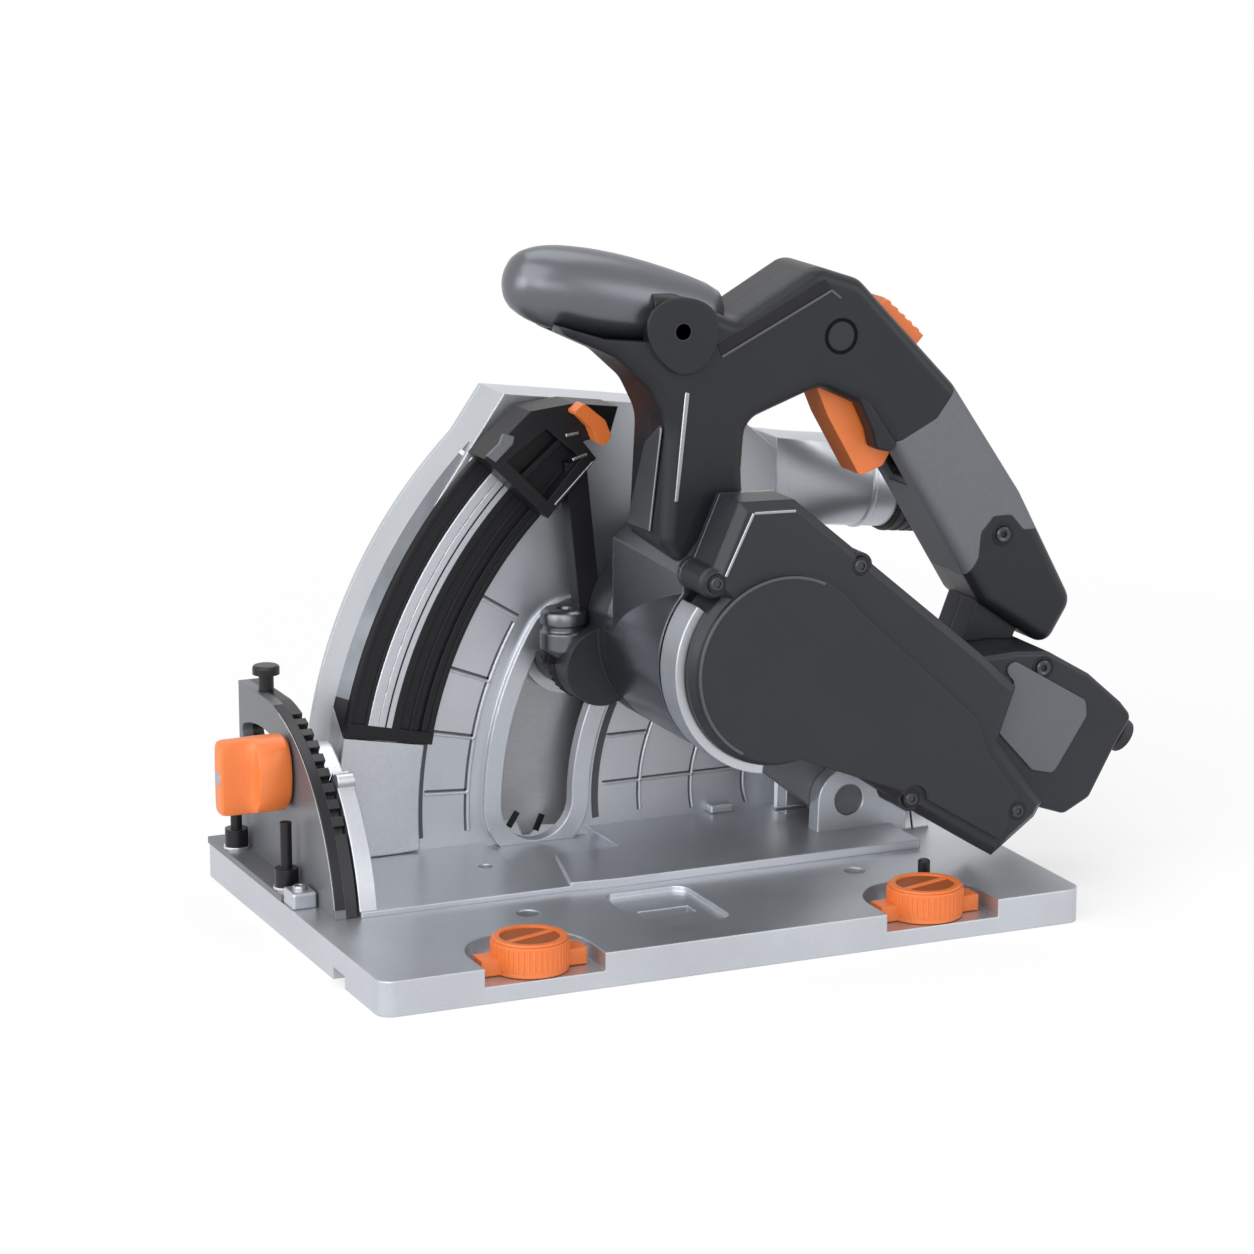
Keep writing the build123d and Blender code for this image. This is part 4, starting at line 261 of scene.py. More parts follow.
# Softer lighter strips laid on creases as painted highlights
soft_painted_highlight = material("soft_painted_highlight", SOFT_HIGHLIGHT_GREY, 0.6, 0.34, 0.05, 1800, 0.06)
grey_plastic = material("grey_plastic", PANEL_GREY, 0.0, 0.46, 0.10, 2200, 0.20, edge=0.0006, edge_highlight_gain=0.2)
silver_plastic = material("silver_plastic", EGG_GREY, 0.75, 0.31, 0.03, 2600, 0.05)
grip_rubber = material("grip_rubber", GRIP_GREY, 0.0, 0.58, 0.10, 2400, 0.25, edge=0.0008, edge_highlight_gain=0.15)
black_rubber = material("black_rubber", RUBBER, 0.0, 0.62, 0.12, 1600, 0.2, edge=0.0006, edge_highlight_gain=0.3)
orange = material("orange_plastic", ORANGE, 0.0, 0.36, 0.04, 2200, 0.07, edge=0.0006, edge_highlight_gain=0.12)
# Painted shade in the cam dishes
dish_shade_orange = material("dish_shade_orange", DISH_SHADE_ORANGE, 0.0, 0.5, 0.06, 1500, 0.08)
carbon = material("carbon", CARBON, 0.0, 0.7, 0.2, 1500, 0.2)

# Finish of each CAD node: by its slot, unless the photo shows another
FINISH = {
    "cast_aluminium": cast, "machined_aluminium": machined, "steel": steel, "bright_steel": bright,
    "black_steel": black_steel, "blade_steel": blade_steel, "charcoal_plastic": charcoal,
    "grey_plastic": grey_plastic, "silver_plastic": silver_plastic, "grip_rubber": grip_rubber,
    "black_rubber": black_rubber, "orange_plastic": orange, "bronze": bronze, "copper": copper,
    "core_steel": core, "carbon": carbon,
}
SPECIAL = {
    "front_quadrant": toothed, "depth_track": black_plastic, "depth_block": black_plastic,
    "depth_scale": cast, "front_handle_bolt": black_steel, "trigger_pin": charcoal, "base_pin": black_steel,
    "pivot_pin": dark_cast, "plunge_arm": dark_cast, "gear_case": charcoal, "motor_housing": gunmetal,
    "motor_ring": cast, "handle_near": handle_paint, "handle_far": handle_paint,
}
for name, obj in nodes.items():
    finish = SPECIAL.get(name) or FINISH[SLOT_OF[name]]
    obj.data.materials.clear()
    obj.data.materials.append(finish)


# Places in the shared frame, in millimetres
PIVOT = (94.0, 29.0)              # plunge pivot, x and z
ARBOR = (-6.61, 90.65)            # blade axis, x and z
MOTOR = (33.07, 104.01)           # motor axis, x and z
TILT_AXIS = (59.0, 0.0)           # bevel axis, y and z
GUARD_Y = 46.0                    # faces that look towards the viewer
TRACK_Y = 43.0
SCALE_Y = 42.2
BLOCK_Y = 24.7
HANDLE_Y = -36.0
COVER_Y = -64.0
REAR_Y = -54.0
DISC_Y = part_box("side_cover")[0][1] / MM
SCREW_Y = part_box("cover_screws")[0][1] / MM
BLADE_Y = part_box("saw_blade")[0][1] / MM
FAR_COVER_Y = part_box("guard_cover")[1][1] / MM
PLATE_TOP = 13.5
TOWARDS_VIEWER = (0, -1, 0)
UP = (0, 0, 1)
WELD = 0.001
SHARP_ANGLE = 35
BEVEL_SEGMENTS = 2

# Guard and depth track: radii about the pivot, angles above the front
RIB_RADIUS = 147.0
RIB_REACH = 165.6
RIB_SPAN = (-3, 31)
RIB_TURNS = (31.8, 21.0, 11.8, 3.2)
GROOVE_SHIFT = 0.42
LOW_RIBS = ((72.0, -6, 24), (49.0, -11, 22), (25.5, -22, 20))
LEVEL_RIBS = ((7.7, 25.0, 53.6), (5.6, 71.5, 34.0))
PLAIN_GROOVES = ((166.2, 168.9, -3, 10.3), (90.2, 93.2, -5.5, 25))
TRACK_RIDGES = ((166.2, 168.4), (175.2, 176.6), (194.3, 195.6), (201.0, 202.9))
RIDGE_SPAN = (10.7, 51.8)
END_RIDGE = (166.3, 202.8, 10.6, 11.6)
SCALE_LINES = ((180.9, 184.2), (186.6, 187.2))
LINE_SPAN = (10.8, 51.5)
SCALE_EDGE = (189.8, 194.2, 11.7, 51.5)
TRACK_FOOT = (166.1, 202.9, 10.55, 12.2)
TRACK_STEPS = 48
FOOT_STEPS = 24
RIM_PROFILE = ((203.0, 45.9), (207.05, 49.95), (206.6, 50.3), (202.6, 46.3))
RIM_SPAN = (13.4, 46.2)
RIM_STEPS = 60
RIM_FOOT = ((202.9, 45.7, 10.55), (207.15, 49.85, 13.4), (207.15, 49.85, 14.6), (202.9, 45.7, 14.6))
# Joint across the guard's rim; its lighter strip is a painted highlight
JOINT_PROFILE = ((202.9, 45.6), (207.3, 49.7), (207.0, 50.2), (202.6, 46.2))
JOINT_SPAN = (44.5, 45.0)
FAR_ARCS = ((72, 2, 58), (109, 0, 54), (146, -2, 51), (184, -3, 49))
FAR_TURNS = (4, 13, 22, 31, 40, 49)
NUB_CORNERS = ((52, 41), (62, 46.2))
NUB_HEIGHTS = (17.0, 20.6)

# Depth stop and neck
SIDE_PLATE = ((-52.6, 177.4), (-47.3, 181.7), (-45.6, 185.6), (-40.6, 184.2), (-41.2, 181.1), (-48.5, 174.5))
STOP_SCREW_PLACE = (-17.6, 30.0, 94.0)
STOP_SCREW = (
    (0, 17.2), (2.6, 17.2), (2.9, 18.6), (7.6, 18.6), (9.0, 17.6), (9.4, 16.4), (9.4, 13.0), (8.4, 12.2),
    (8.4, 10.4), (9.6, 9.4), (9.8, 3.0), (9.0, 1.8), (7.0, 0.0), (0, 0),
)
NECK_PLACE = (ARBOR[0], 32.5, ARBOR[1])

# Blade
TOOTH_COUNT = 40
FIRST_TOOTH = 72.1
GULLET_RADII = (77.5, 70.6)
GULLET_LEAN = 1.5

# Handle, hub and grip; the crease and facet outlines are strips of painted highlight, the flank outline a
# sheet of painted shade and the hub hole a disc of painted shade
CREASE = ((4.3, 208.0), (6.1, 207.5), (1.5, 166.2), (-0.2, 166.0))
FACET = (
    (-4.3, -23.0, 153.0), (-4.3, -2.5, 152.0), (-2.9, -16.0, 186.0), (-2.5, -29.0, 194.5),
    (-2.5, -30.5, 194.5),
)
FACET_EDGE = ((-4.5, -24.6, 153.0), (-4.5, -23.4, 153.0), (-2.7, -29.9, 194.0), (-2.7, -31.1, 194.0))
FLANK_SHADE = ((19.2, 221.2), (65.0, 243.6), (63.1, 247.4), (17.4, 225.0))
HUB = (
    (-13.0, 238.2), (-4.0, 244.8), (7.5, 244.2), (16.2, 239.2), (18.2, 230.0), (14.6, 219.4), (6.5, 214.2),
    (-1.6, 215.6), (-11.2, 226.0),
)
HUB_ROUNDS = 3
HUB_RISE = (0.9, 2.3)
HUB_CENTRE = (2.5, 231.4)
HUB_HOLE_SHADE = ((0, 0.0), (3.1, 0.0), (3.6, 0.22), (3.9, -0.3))
EGG_TIP = Vector((-61.0, -18.0, 253.0))
EGG_END = Vector((25.0, -18.0, 233.5))
EGG_STEPS = (                     # radius and share of the length
    (0, 0.0), (3.4, 0.004), (6.4, 0.014), (8.9, 0.030), (11.0, 0.055), (12.6, 0.090), (13.8, 0.125),
    (14.7, 0.165), (15.4, 0.21), (15.95, 0.27), (16.3, 0.335), (16.4, 0.40), (16.3, 0.47), (15.95, 0.55),
    (15.25, 0.64), (14.2, 0.74), (12.9, 0.84), (11.5, 0.92), (9.6, 0.98), (6.0, 1.01), (0, 1.02),
)
LIP = (
    (72.5, 212.0), (79.3, 197.5), (84.4, 186.8), (86.2, 179.5), (92.0, 178.0), (95.5, 181.0), (90.5, 188.0),
    (84.5, 197.0), (77.0, 207.0),
)
LIP_SIDES = {"near": (-35.4, -26.2), "far": (-9.8, -0.6)}
SCREW_RADIUS = 3.2
GRIP_SCREW = (142.2, 141.4)
REAR_SCREW = (151.4, 90.4)
TRIGGER_PIN = (70, 225)
COVER_SCREWS = ((5.0, 139.5), (65.5, 141.0), (88.8, 46.5), (136.0, 36.0))
COVER_SOCKET = ((0, -0.9), (1.25, -0.9), (1.45, 0.25), (2.3, 0.3), (2.6, 0.0), (2.6, -0.4))
GLAND = (189.25, -31.0, 60.1)
GLAND_WAY = (11.8, 0.0, -7.9)
GLAND_RISES = (3.2, 7.0, 10.8)
LOCK = Vector((99.5, 225.0))
LOCK_WAY = Vector((0.731, -0.682))
LOCK_UP = Vector((0.682, 0.731))
LOCK_STEPS = (-8.4, -4.2, 0.0, 4.2, 8.4)
LOCK_TOP = 4.7
LOCK_HALF = 1.1
LOCK_SIDES = (-23.6, -12.4)

# Dust outlet
PORT_END = (125.0, 59.0, 147.5)
PORT_WAY = (42.0, 0.0, -4.5)
SLEEVE_RISES = (14.0, 18.5, 23.0, 26.6)

# Base and bevel knob
QUADRANT_RIM_X = (-133.9, -129.8)
# Lighter edge line of the quadrant, a painted highlight
QUADRANT_HIGHLIGHT_X = (-133.8, -134.2)
CORNER = ((-144.4, -4.2), (-134.6, 7.6))
CORNER_HEIGHT = 6.4
CORNER_SCREW_PLACE = (-139.5, 1.7, PLATE_TOP + CORNER_HEIGHT)
CORNER_SCREW = ((0, 0.2), (1.2, 0.2), (1.3, 1.5), (2.3, 1.7), (2.9, 1.1), (2.9, -0.4))
CAMS = {"rail_cam_front": (-80.5, -85.0), "rail_cam_rear": (84.0, -85.0)}
CAM_RADIUS = 14.5
CAM_TEETH = 44
CAM_KNURL = (8.6, 17.4)
KNOB = (29.6, 59.1)               # y and z
KNOB_TURNS = 64
KNOB_SECTIONS = (                 # x, half width, half height and squareness
    (-134.5, 7.0, 10.9, 2.2), (-135.2, 9.2, 13.9, 2.2), (-136.6, 9.9, 15.0, 2.3), (-147.0, 9.9, 15.1, 2.4),
    (-148.4, 9.3, 15.1, 2.4), (-149.1, 6.4, 15.1, 2.8), (-150.3, 4.9, 15.1, 3.4), (-152.6, 4.3, 15.0, 4.0),
    (-156.2, 4.1, 14.9, 4.6), (-159.8, 4.3, 14.8, 5.0), (-161.5, 4.2, 14.3, 5.0), (-162.2, 3.3, 13.3, 5.0),
)


def at(centre, radius, turn):
    """Point on a circle: 0 degrees is towards the front, 90 is up."""
    angle = math.radians(turn)
    return (centre[0] - radius * math.cos(angle), centre[1] + radius * math.sin(angle))


def arc(centre, radius, first, last, steps=32):
    """Points on an arc."""
    return [at(centre, radius, first + (last - first) * step / steps) for step in range(steps + 1)]


def band(centre, inner, outer, first, last, steps=32):
    """Outline between two radii and two angles."""
    return arc(centre, outer, first, last, steps) + arc(centre, inner, last, first, steps)


def bar(start, end, width):
    """Outline of a straight strip between two points."""
    start = Vector(start)
    end = Vector(end)
    way = (end - start).normalized() * width / 2
    aside = Vector((-way.y, way.x))
    return [tuple(start + aside), tuple(end + aside), tuple(end - aside), tuple(start - aside)]


def spokes(centre, inner, outer, count, width):
    """Short strips set round a centre, as a knurl."""
    turns = [360 * step / count for step in range(count)]
    return [bar(at(centre, inner, turn), at(centre, outer, turn), width) for turn in turns]


def soften(outline, rounds):
    """Cuts the corners of a closed outline again and again, so that it becomes a smooth curve."""
    for _ in range(rounds):
        cut = []
        for step, (x, z) in enumerate(outline):
            after_x, after_z = outline[(step + 1) % len(outline)]
            cut.append((0.75 * x + 0.25 * after_x, 0.75 * z + 0.25 * after_z))
            cut.append((0.25 * x + 0.75 * after_x, 0.25 * z + 0.75 * after_z))
        outline = cut
    return outline


def box_outline(first, second):
    """Outline of an upright rectangle between two corners."""
    return [(first[0], first[1]), (second[0], first[1]), (second[0], second[1]), (first[0], second[1])]


def closed_ring(inner, outer, start, stop, soft=0.2):
    """Profile of a ring with softened corners, back to its start."""
    return [
        (inner, start), (outer - soft, start), (outer, start + soft), (outer, stop - soft),
        (outer - soft, stop), (inner, stop), (inner, start),
    ]


def spot(axis, first, second, along):
    """Point from two coordinates across an axis and one along it."""
    if axis == "X":
        return Vector((along, first, second))
    if axis == "Y":
        return Vector((first, along, second))
    return Vector((first, second, along))


def add_piece(name, shape, body, finish, bevel=0.0):
    """Make a shape in millimetres into a piece that rides on a body."""
    bmesh.ops.recalc_face_normals(shape, faces=shape.faces)
    bmesh.ops.scale(shape, vec=(MM, MM, MM), verts=shape.verts)
    mesh = bpy.data.meshes.new(name)
    shape.to_mesh(mesh)
    shape.free()
    mesh.materials.append(finish)
    mesh.shade_smooth()
    obj = bpy.data.objects.new(name, mesh)
    bpy.context.scene.collection.objects.link(obj)
    if bevel:
        edge = obj.modifiers.new("edge", "BEVEL")
        edge.width = bevel * MM
        edge.segments = BEVEL_SEGMENTS
        edge.limit_method = "ANGLE"
        edge.angle_limit = math.radians(SHARP_ANGLE)
        edge.harden_normals = True
    else:
        mesh.set_sharp_from_angle(angle=math.radians(SHARP_ANGLE))
    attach(obj, body)
    return obj


def join_rings(shape, rings):
    """Faces between each closed ring of points and the next, with both ends closed."""
    for low, high in zip(rings, rings[1:]):
        for step in range(len(low)):
            after = (step + 1) % len(low)
            shape.faces.new((low[step], low[after], high[after], high[step]))
    shape.faces.new(rings[0])
    shape.faces.new(list(reversed(rings[-1])))


def prism(name, outlines, start, stop, axis, body, slot, finish, bevel):
    """Straight pieces with these outlines, all in one object."""
    shape = bmesh.new()
    for outline in outlines:
        low = [shape.verts.new(spot(axis, a, b, start)) for a, b in outline]
        high = [shape.verts.new(spot(axis, a, b, stop)) for a, b in outline]
        join_rings(shape, [low, high])
    return add_piece(name, shape, body, finish, bevel)


def relief(name, outlines, face, height, body, slot, finish, bevel, sunk=0.2):
    """Relief on a face that looks towards the viewer, sunk a little into it."""
    return prism(name, outlines, face + sunk, face - height, "Y", body, slot, finish, bevel)


def slab(name, corners, offset, body, finish, bevel):
    """Thin plate on any flat polygon of points, as thick as the offset."""
    shape = bmesh.new()
    low = [shape.verts.new(Vector(corner)) for corner in corners]
    high = [shape.verts.new(Vector(corner) + Vector(offset)) for corner in corners]
    join_rings(shape, [low, high])
    return add_piece(name, shape, body, finish, bevel)


def sweep(name, centre, profile, span, steps, body, finish):
    """Strip along an arc: the profile has (radius, y) corners."""
    shape = bmesh.new()
    sections = []
    for step in range(steps + 1):
        turn = span[0] + (span[1] - span[0]) * step / steps
        section = []
        for radius, y in profile:
            x, z = at(centre, radius, turn)
            section.append(shape.verts.new((x, y, z)))
        sections.append(section)
    join_rings(shape, sections)
    return add_piece(name, shape, body, finish)


def lathe(name, profiles, axis, body, finish, turns=48):
    """Turned pieces in one object: each has a centre and (radius, height) steps along the axis."""
    shape = bmesh.new()
    way = Vector(axis).normalized()
    across = way.orthogonal().normalized()
    other = way.cross(across)
    angles = [2 * math.pi * step / turns for step in range(turns)]
    round_about = [across * math.cos(a) + other * math.sin(a) for a in angles]
    for centre, profile in profiles:
        if profile[0][0] == 0 and profile[-1][0] != 0:
            profile = list(profile) + [(0, profile[-1][1])]
        rings = []
        for radius, height in profile:
            middle = Vector(centre) + way * height
            if radius == 0:
                rings.append([shape.verts.new(middle)] * turns)
            else:
                rings.append([shape.verts.new(middle + outwards * radius) for outwards in round_about])
        for low, high in zip(rings, rings[1:]):
            for step in range(turns):
                after = (step + 1) % turns
                corners = []
                for corner in (low[step], low[after], high[after], high[step]):
                    if corner not in corners:
                        corners.append(corner)
                if len(corners) > 2:
                    shape.faces.new(corners)
    bmesh.ops.remove_doubles(shape, verts=shape.verts, dist=WELD)
    return add_piece(name, shape, body, finish)


def screws(name, places, face, radius, body):
    """Pan-head screws with a socket, on a face that looks towards the viewer."""
    head = [
        (0, -0.3), (0.42 * radius, -0.3), (0.45 * radius, 0.9), (0.75 * radius, 1.1), (0.95 * radius, 0.75),
        (radius, 0.2), (radius, -0.6),
    ]
    seat = closed_ring(1.05 * radius, 1.5 * radius, -0.4, 0.25)
    heads = [((x, face, z), head) for x, z in places]
    seats = [((x, face, z), seat) for x, z in places]
    lathe(name, heads, TOWARDS_VIEWER, body, bright_black)
    lathe(name + "_seats", seats, TOWARDS_VIEWER, body, black_plastic)


# Guard: cast ribs with a groove beside each, the grooves drawn as flat dark strips of painted shade
ribs = [band(PIVOT, RIB_RADIUS - 0.8, RIB_RADIUS + 0.8, *RIB_SPAN)]
groove_shades = [band(PIVOT, RIB_RADIUS + 0.8, RIB_RADIUS + 1.6, *RIB_SPAN)]
groove_shades += [band(PIVOT, *limits) for limits in PLAIN_GROOVES]
for turn in RIB_TURNS:
    for strips, shift, width in ((ribs, 0.0, 1.3), (groove_shades, GROOVE_SHIFT, 0.9)):
        inside = at(PIVOT, RIB_RADIUS, turn + shift)
        outside = at(PIVOT, RIB_REACH, turn + shift)
        strips.append(bar(inside, outside, width))
for radius, low, high in LOW_RIBS:
    ribs.append(band(PIVOT, radius - 0.6, radius + 0.6, low, high))
    groove_shades.append(band(PIVOT, radius + 0.6, radius + 1.3, low, high))
for left, right, height in LEVEL_RIBS:
    ribs.append(bar((left, height), (right, height), 1.2))
    groove_shades.append(bar((left, height + 0.95), (right, height + 0.95), 0.7))
relief("guard_ribs", ribs, GUARD_Y, 0.9, "tilt_unit", "cast_aluminium", cast, 0.35)
relief("guard_groove_shades", groove_shades, GUARD_Y, 0.06, "tilt_unit", "dark_aluminium", groove_shade, 0.0)

# Depth track: ridges, scale and foot, and the strip on the guard's rim beside it
track_slot = SLOT_OF["depth_track"]
ridges = [band(PIVOT, inner, outer, *RIDGE_SPAN, TRACK_STEPS) for inner, outer in TRACK_RIDGES]
ridges.append(band(PIVOT, *END_RIDGE, FOOT_STEPS))
relief("track_ridges", ridges, TRACK_Y, 0.6, "tilt_unit", track_slot, black_plastic, 0.25, 0.1)
scale_lines = [band(PIVOT, inner, outer, *LINE_SPAN, TRACK_STEPS) for inner, outer in SCALE_LINES]
relief("scale_lines", scale_lines, SCALE_Y, 0.18, "tilt_unit", track_slot, black_plastic, 0.0, 0.1)
scale_edge = band(PIVOT, *SCALE_EDGE, TRACK_STEPS)
prism("scale_edge", [scale_edge], TRACK_Y + 0.1, SCALE_Y, "Y", "tilt_unit", SLOT_OF["depth_scale"], cast, 0.0)
sweep("rim_strip", PIVOT, RIM_PROFILE, RIM_SPAN, RIM_STEPS, "tilt_unit", rim_metal)
foot = band(PIVOT, *TRACK_FOOT, FOOT_STEPS)
prism("track_foot", [foot], TRACK_Y + 0.1, SCALE_Y - 0.35, "Y", "tilt_unit", track_slot, black_plastic, 0.3)
rim_foot = []
for radius, y, turn in RIM_FOOT:
    x, z = at(PIVOT, radius, turn)
    rim_foot.append((x, y, z))
slab("rim_foot", rim_foot, (0.3, 0.3, 0.0), "tilt_unit", black_plastic, 0.0)
# Joint across the guard's rim, drawn lighter as a painted highlight
sweep("rim_joint", PIVOT, JOINT_PROFILE, JOINT_SPAN, 2, "tilt_unit", painted_highlight)

# Guard's blade side: ribs of the cover, and a cast nub on the flange
far_ribs = [band(PIVOT, radius - 0.9, radius + 0.9, low, high, 40) for radius, low, high in FAR_ARCS]
for turn in FAR_TURNS:
    far_ribs.append(bar(at(PIVOT, FAR_ARCS[0][0], turn), at(PIVOT, FAR_ARCS[-1][0], turn), 1.6))
far_low = FAR_COVER_Y - 0.2
far_top = FAR_COVER_Y + 0.8
prism("cover_ribs", far_ribs, far_low, far_top, "Y", "tilt_unit", "cast_aluminium", cast, 0.35)
nub = box_outline(*NUB_CORNERS)
prism("guard_nub", [nub], *NUB_HEIGHTS, "Z", "tilt_unit", "cast_aluminium", cast, 0.8)

# Depth stop: side plate, clips, frame line as a lighter strip of painted highlight and stop screw, then the
# rings on the neck
relief("block_side_plate", [SIDE_PLATE], BLOCK_Y, 0.9, "plunge_unit", "dark_aluminium", dark_cast, 0.3)
clips = [bar((-16.2, 173.0), (-10.0, 174.6), 1.3), bar((-19.0, 182.8), (-13.5, 183.4), 1.3)]
relief("block_clips", clips, BLOCK_Y, 0.7, "plunge_unit", "bright_steel", bright, 0.3, 0.3)
frame_highlight = bar((-23.6, 155.6), (-7.2, 171.5), 0.8)
relief("block_frame_highlight", [frame_highlight], BLOCK_Y, 0.35, "plunge_unit", "bright_steel", painted_highlight, 0.2)
lathe("stop_screw", [(STOP_SCREW_PLACE, STOP_SCREW)], UP, "plunge_unit", gunmetal, 56)
neck_ring = closed_ring(14.6, 15.9, -3.6, 3.6, 0.5)
lathe("neck_ring", [(NECK_PLACE, neck_ring)], TOWARDS_VIEWER, "plunge_unit", black_plastic, 64)
saddle = band(ARBOR, 18.5, 20.8, 1, 179, 48)
prism("saddle_ring", [saddle], 36.1, 28.9, "Y", "plunge_unit", "black_steel", black_plastic, 0.5)
upper = [strip for strip in spokes(ARBOR, 20.3, 21.5, 44, 1.5) if min(z for x, z in strip) > ARBOR[1]]
lower = [strip for strip in spokes(ARBOR, 15.5, 16.25, 36, 1.3) if max(z for x, z in strip) < ARBOR[1]]
prism("neck_knurl", upper + lower, 35.6, 29.4, "Y", "plunge_unit", "black_steel", black_plastic, 0.3)

# Blade: gullets behind the teeth, drawn as flat dark strips of painted shade
gullet_shades = []
for step in range(TOOTH_COUNT):
    turn = 360 / TOOTH_COUNT * step - FIRST_TOOTH
    low = at(ARBOR, GULLET_RADII[0], turn)
    high = at(ARBOR, GULLET_RADII[1], turn - GULLET_LEAN)
    gullet_shades.append(bar(low, high, 2.8))
relief("blade_gullet_shades", gullet_shades, BLADE_Y, 0.06, "arbor", "black_steel", black_steel, 0.0, 0.1)

# Handle and side cover: creases, facet and bead as lighter strips of painted highlight, flank as a dark sheet
# of painted shade
relief("column_crease_highlight", [CREASE], HANDLE_Y, 0.7, "plunge_unit", "charcoal_plastic", painted_highlight, 0.45)
slab("column_facet_highlight", FACET, (-0.7, 0, 0), "plunge_unit", facet_painted_highlight, 0.3)
slab("column_facet_edge_highlight", FACET_EDGE, (-0.9, 0, 0), "plunge_unit", painted_highlight, 0.3)
arm_highlight_lines = [bar((19.5, 220.4), (65.6, 242.9), 1.1), bar((65.4, 243.0), (69.6, 239.6), 1.1)]
relief("arm_crease_highlight", arm_highlight_lines, HANDLE_Y, 0.6, "plunge_unit", "charcoal_plastic", soft_painted_highlight, 0.4)
# Dark sheet on the arm's flank: painted shade
relief("arm_flank_shade", [FLANK_SHADE], HANDLE_Y, 0.25, "plunge_unit", "charcoal_plastic", black_plastic, 0.1)
cover_highlight_lines = [bar((37.5, 164.9), (20.2, 165.4), 1.2), bar((19.9, 165.5), (8.4, 142.0), 1.2)]
relief("cover_crease_highlight", cover_highlight_lines, COVER_Y, 0.5, "plunge_unit", "charcoal_plastic", painted_highlight, 0.4)
disc_bead_highlight = band(MOTOR, 35.2, 36.4, -60, 117, 72)
relief("disc_bead_highlight", [disc_bead_highlight], DISC_Y, 0.35, "plunge_unit", "charcoal_plastic", soft_painted_highlight, 0.35)

# Hub with a black disc of painted shade in its hole, and the front grip in one smooth form
hub = soften(HUB, HUB_ROUNDS)
hub_low = HANDLE_Y - HUB_RISE[0]
hub_top = HANDLE_Y - HUB_RISE[1]
prism("hub_cap", [hub], hub_low, hub_top, "Y", "plunge_unit", "charcoal_plastic", handle_paint, 0.8)
hub_place = (HUB_CENTRE[0], hub_top, HUB_CENTRE[1])
lathe("hub_hole_shade", [(hub_place, HUB_HOLE_SHADE)], TOWARDS_VIEWER, "plunge_unit", black_rubber, 40)
egg_way = EGG_END - EGG_TIP
egg_profile = [(radius, share * egg_way.length) for radius, share in EGG_STEPS]
egg = lathe(
    "egg_grip", [(EGG_TIP, egg_profile)], egg_way, "plunge_unit", silver_plastic, 96,
)
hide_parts("front_handle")

# Handle: lips beside the trigger, screws, and a ring of painted shadow round the trigger pin
for side, (near, far) in LIP_SIDES.items():
    prism("grip_lip_" + side, [LIP], near, far, "Y", "plunge_unit", "charcoal_plastic", handle_paint, 1.2)
screws("grip_screw", [GRIP_SCREW], HANDLE_Y, SCREW_RADIUS, "plunge_unit")
screws("rear_screw", [REAR_SCREW], REAR_Y, SCREW_RADIUS, "plunge_unit")
pin_shadow_ring = closed_ring(5.7, 7.0, -0.3, 0.35)
pin_place = (TRIGGER_PIN[0], HANDLE_Y, TRIGGER_PIN[1])
pin_shadow_rings = [(pin_place, pin_shadow_ring)]
lathe("trigger_pin_shadow_ring", pin_shadow_rings, TOWARDS_VIEWER, "plunge_unit", shadow_gap)
sockets = [((x, SCREW_Y, z), COVER_SOCKET) for x, z in COVER_SCREWS]
lathe("cover_screw_sockets", sockets, TOWARDS_VIEWER, "plunge_unit", bright_black, 24)
gland_rings = []
for rise in GLAND_RISES:
    gland_rings.append((GLAND, closed_ring(7.0, 9.1 - 0.1 * rise, rise - 1.1, rise + 1.1, 0.5)))
lathe("gland_rings", gland_rings, GLAND_WAY, "plunge_unit", black_rubber)

# Lock-off: ridges across its top
lock_ridges = []
for step in LOCK_STEPS:
    middle = LOCK + LOCK_WAY * step + LOCK_UP * LOCK_TOP
    lock_ridges.append(bar(middle - LOCK_WAY * LOCK_HALF, middle + LOCK_WAY * LOCK_HALF, 2.4))
lock_slot = SLOT_OF["lockoff_button"]
prism("lockoff_ridges", lock_ridges, *LOCK_SIDES, "Y", "lockoff_button", lock_slot, orange, 0.5)

# Dust outlet: bead at the end of the port and ribs round the sleeve
port_bead = closed_ring(18.6, 19.7, -1.2, 1.2, 0.5)
lathe("port_bead", [(PORT_END, port_bead)], PORT_WAY, "tilt_unit", cast, 64)
sleeve_ribs = [(PORT_END, closed_ring(19.6, 20.8, rise - 1.2, rise + 1.2, 0.5)) for rise in SLEEVE_RISES]
lathe("sleeve_ribs", sleeve_ribs, PORT_WAY, "tilt_unit", black_rubber, 64)

# Base: rim of the quadrant, its edge line as a lighter strip of painted highlight, corner block with its
# screw
quadrant_rim = band(TILT_AXIS, 82.3, 83.1, 12, 80, 40)
prism("quadrant_rim", [quadrant_rim], *QUADRANT_RIM_X, "X", "base", "black_steel", black_steel, 0.25)
quadrant_line_highlight = band(TILT_AXIS, 82.0, 82.7, 12, 76, 40)
prism("quadrant_line_highlight", [quadrant_line_highlight], *QUADRANT_HIGHLIGHT_X, "X", "base", "black_steel", painted_highlight, 0.1)
corner = box_outline(*CORNER)
corner_top = PLATE_TOP + CORNER_HEIGHT
prism("corner_block", [corner], PLATE_TOP - 0.1, corner_top, "Z", "base", "cast_aluminium", cast, 0.9)
lathe("corner_screw", [(CORNER_SCREW_PLACE, CORNER_SCREW)], UP, "base", steel, 32)

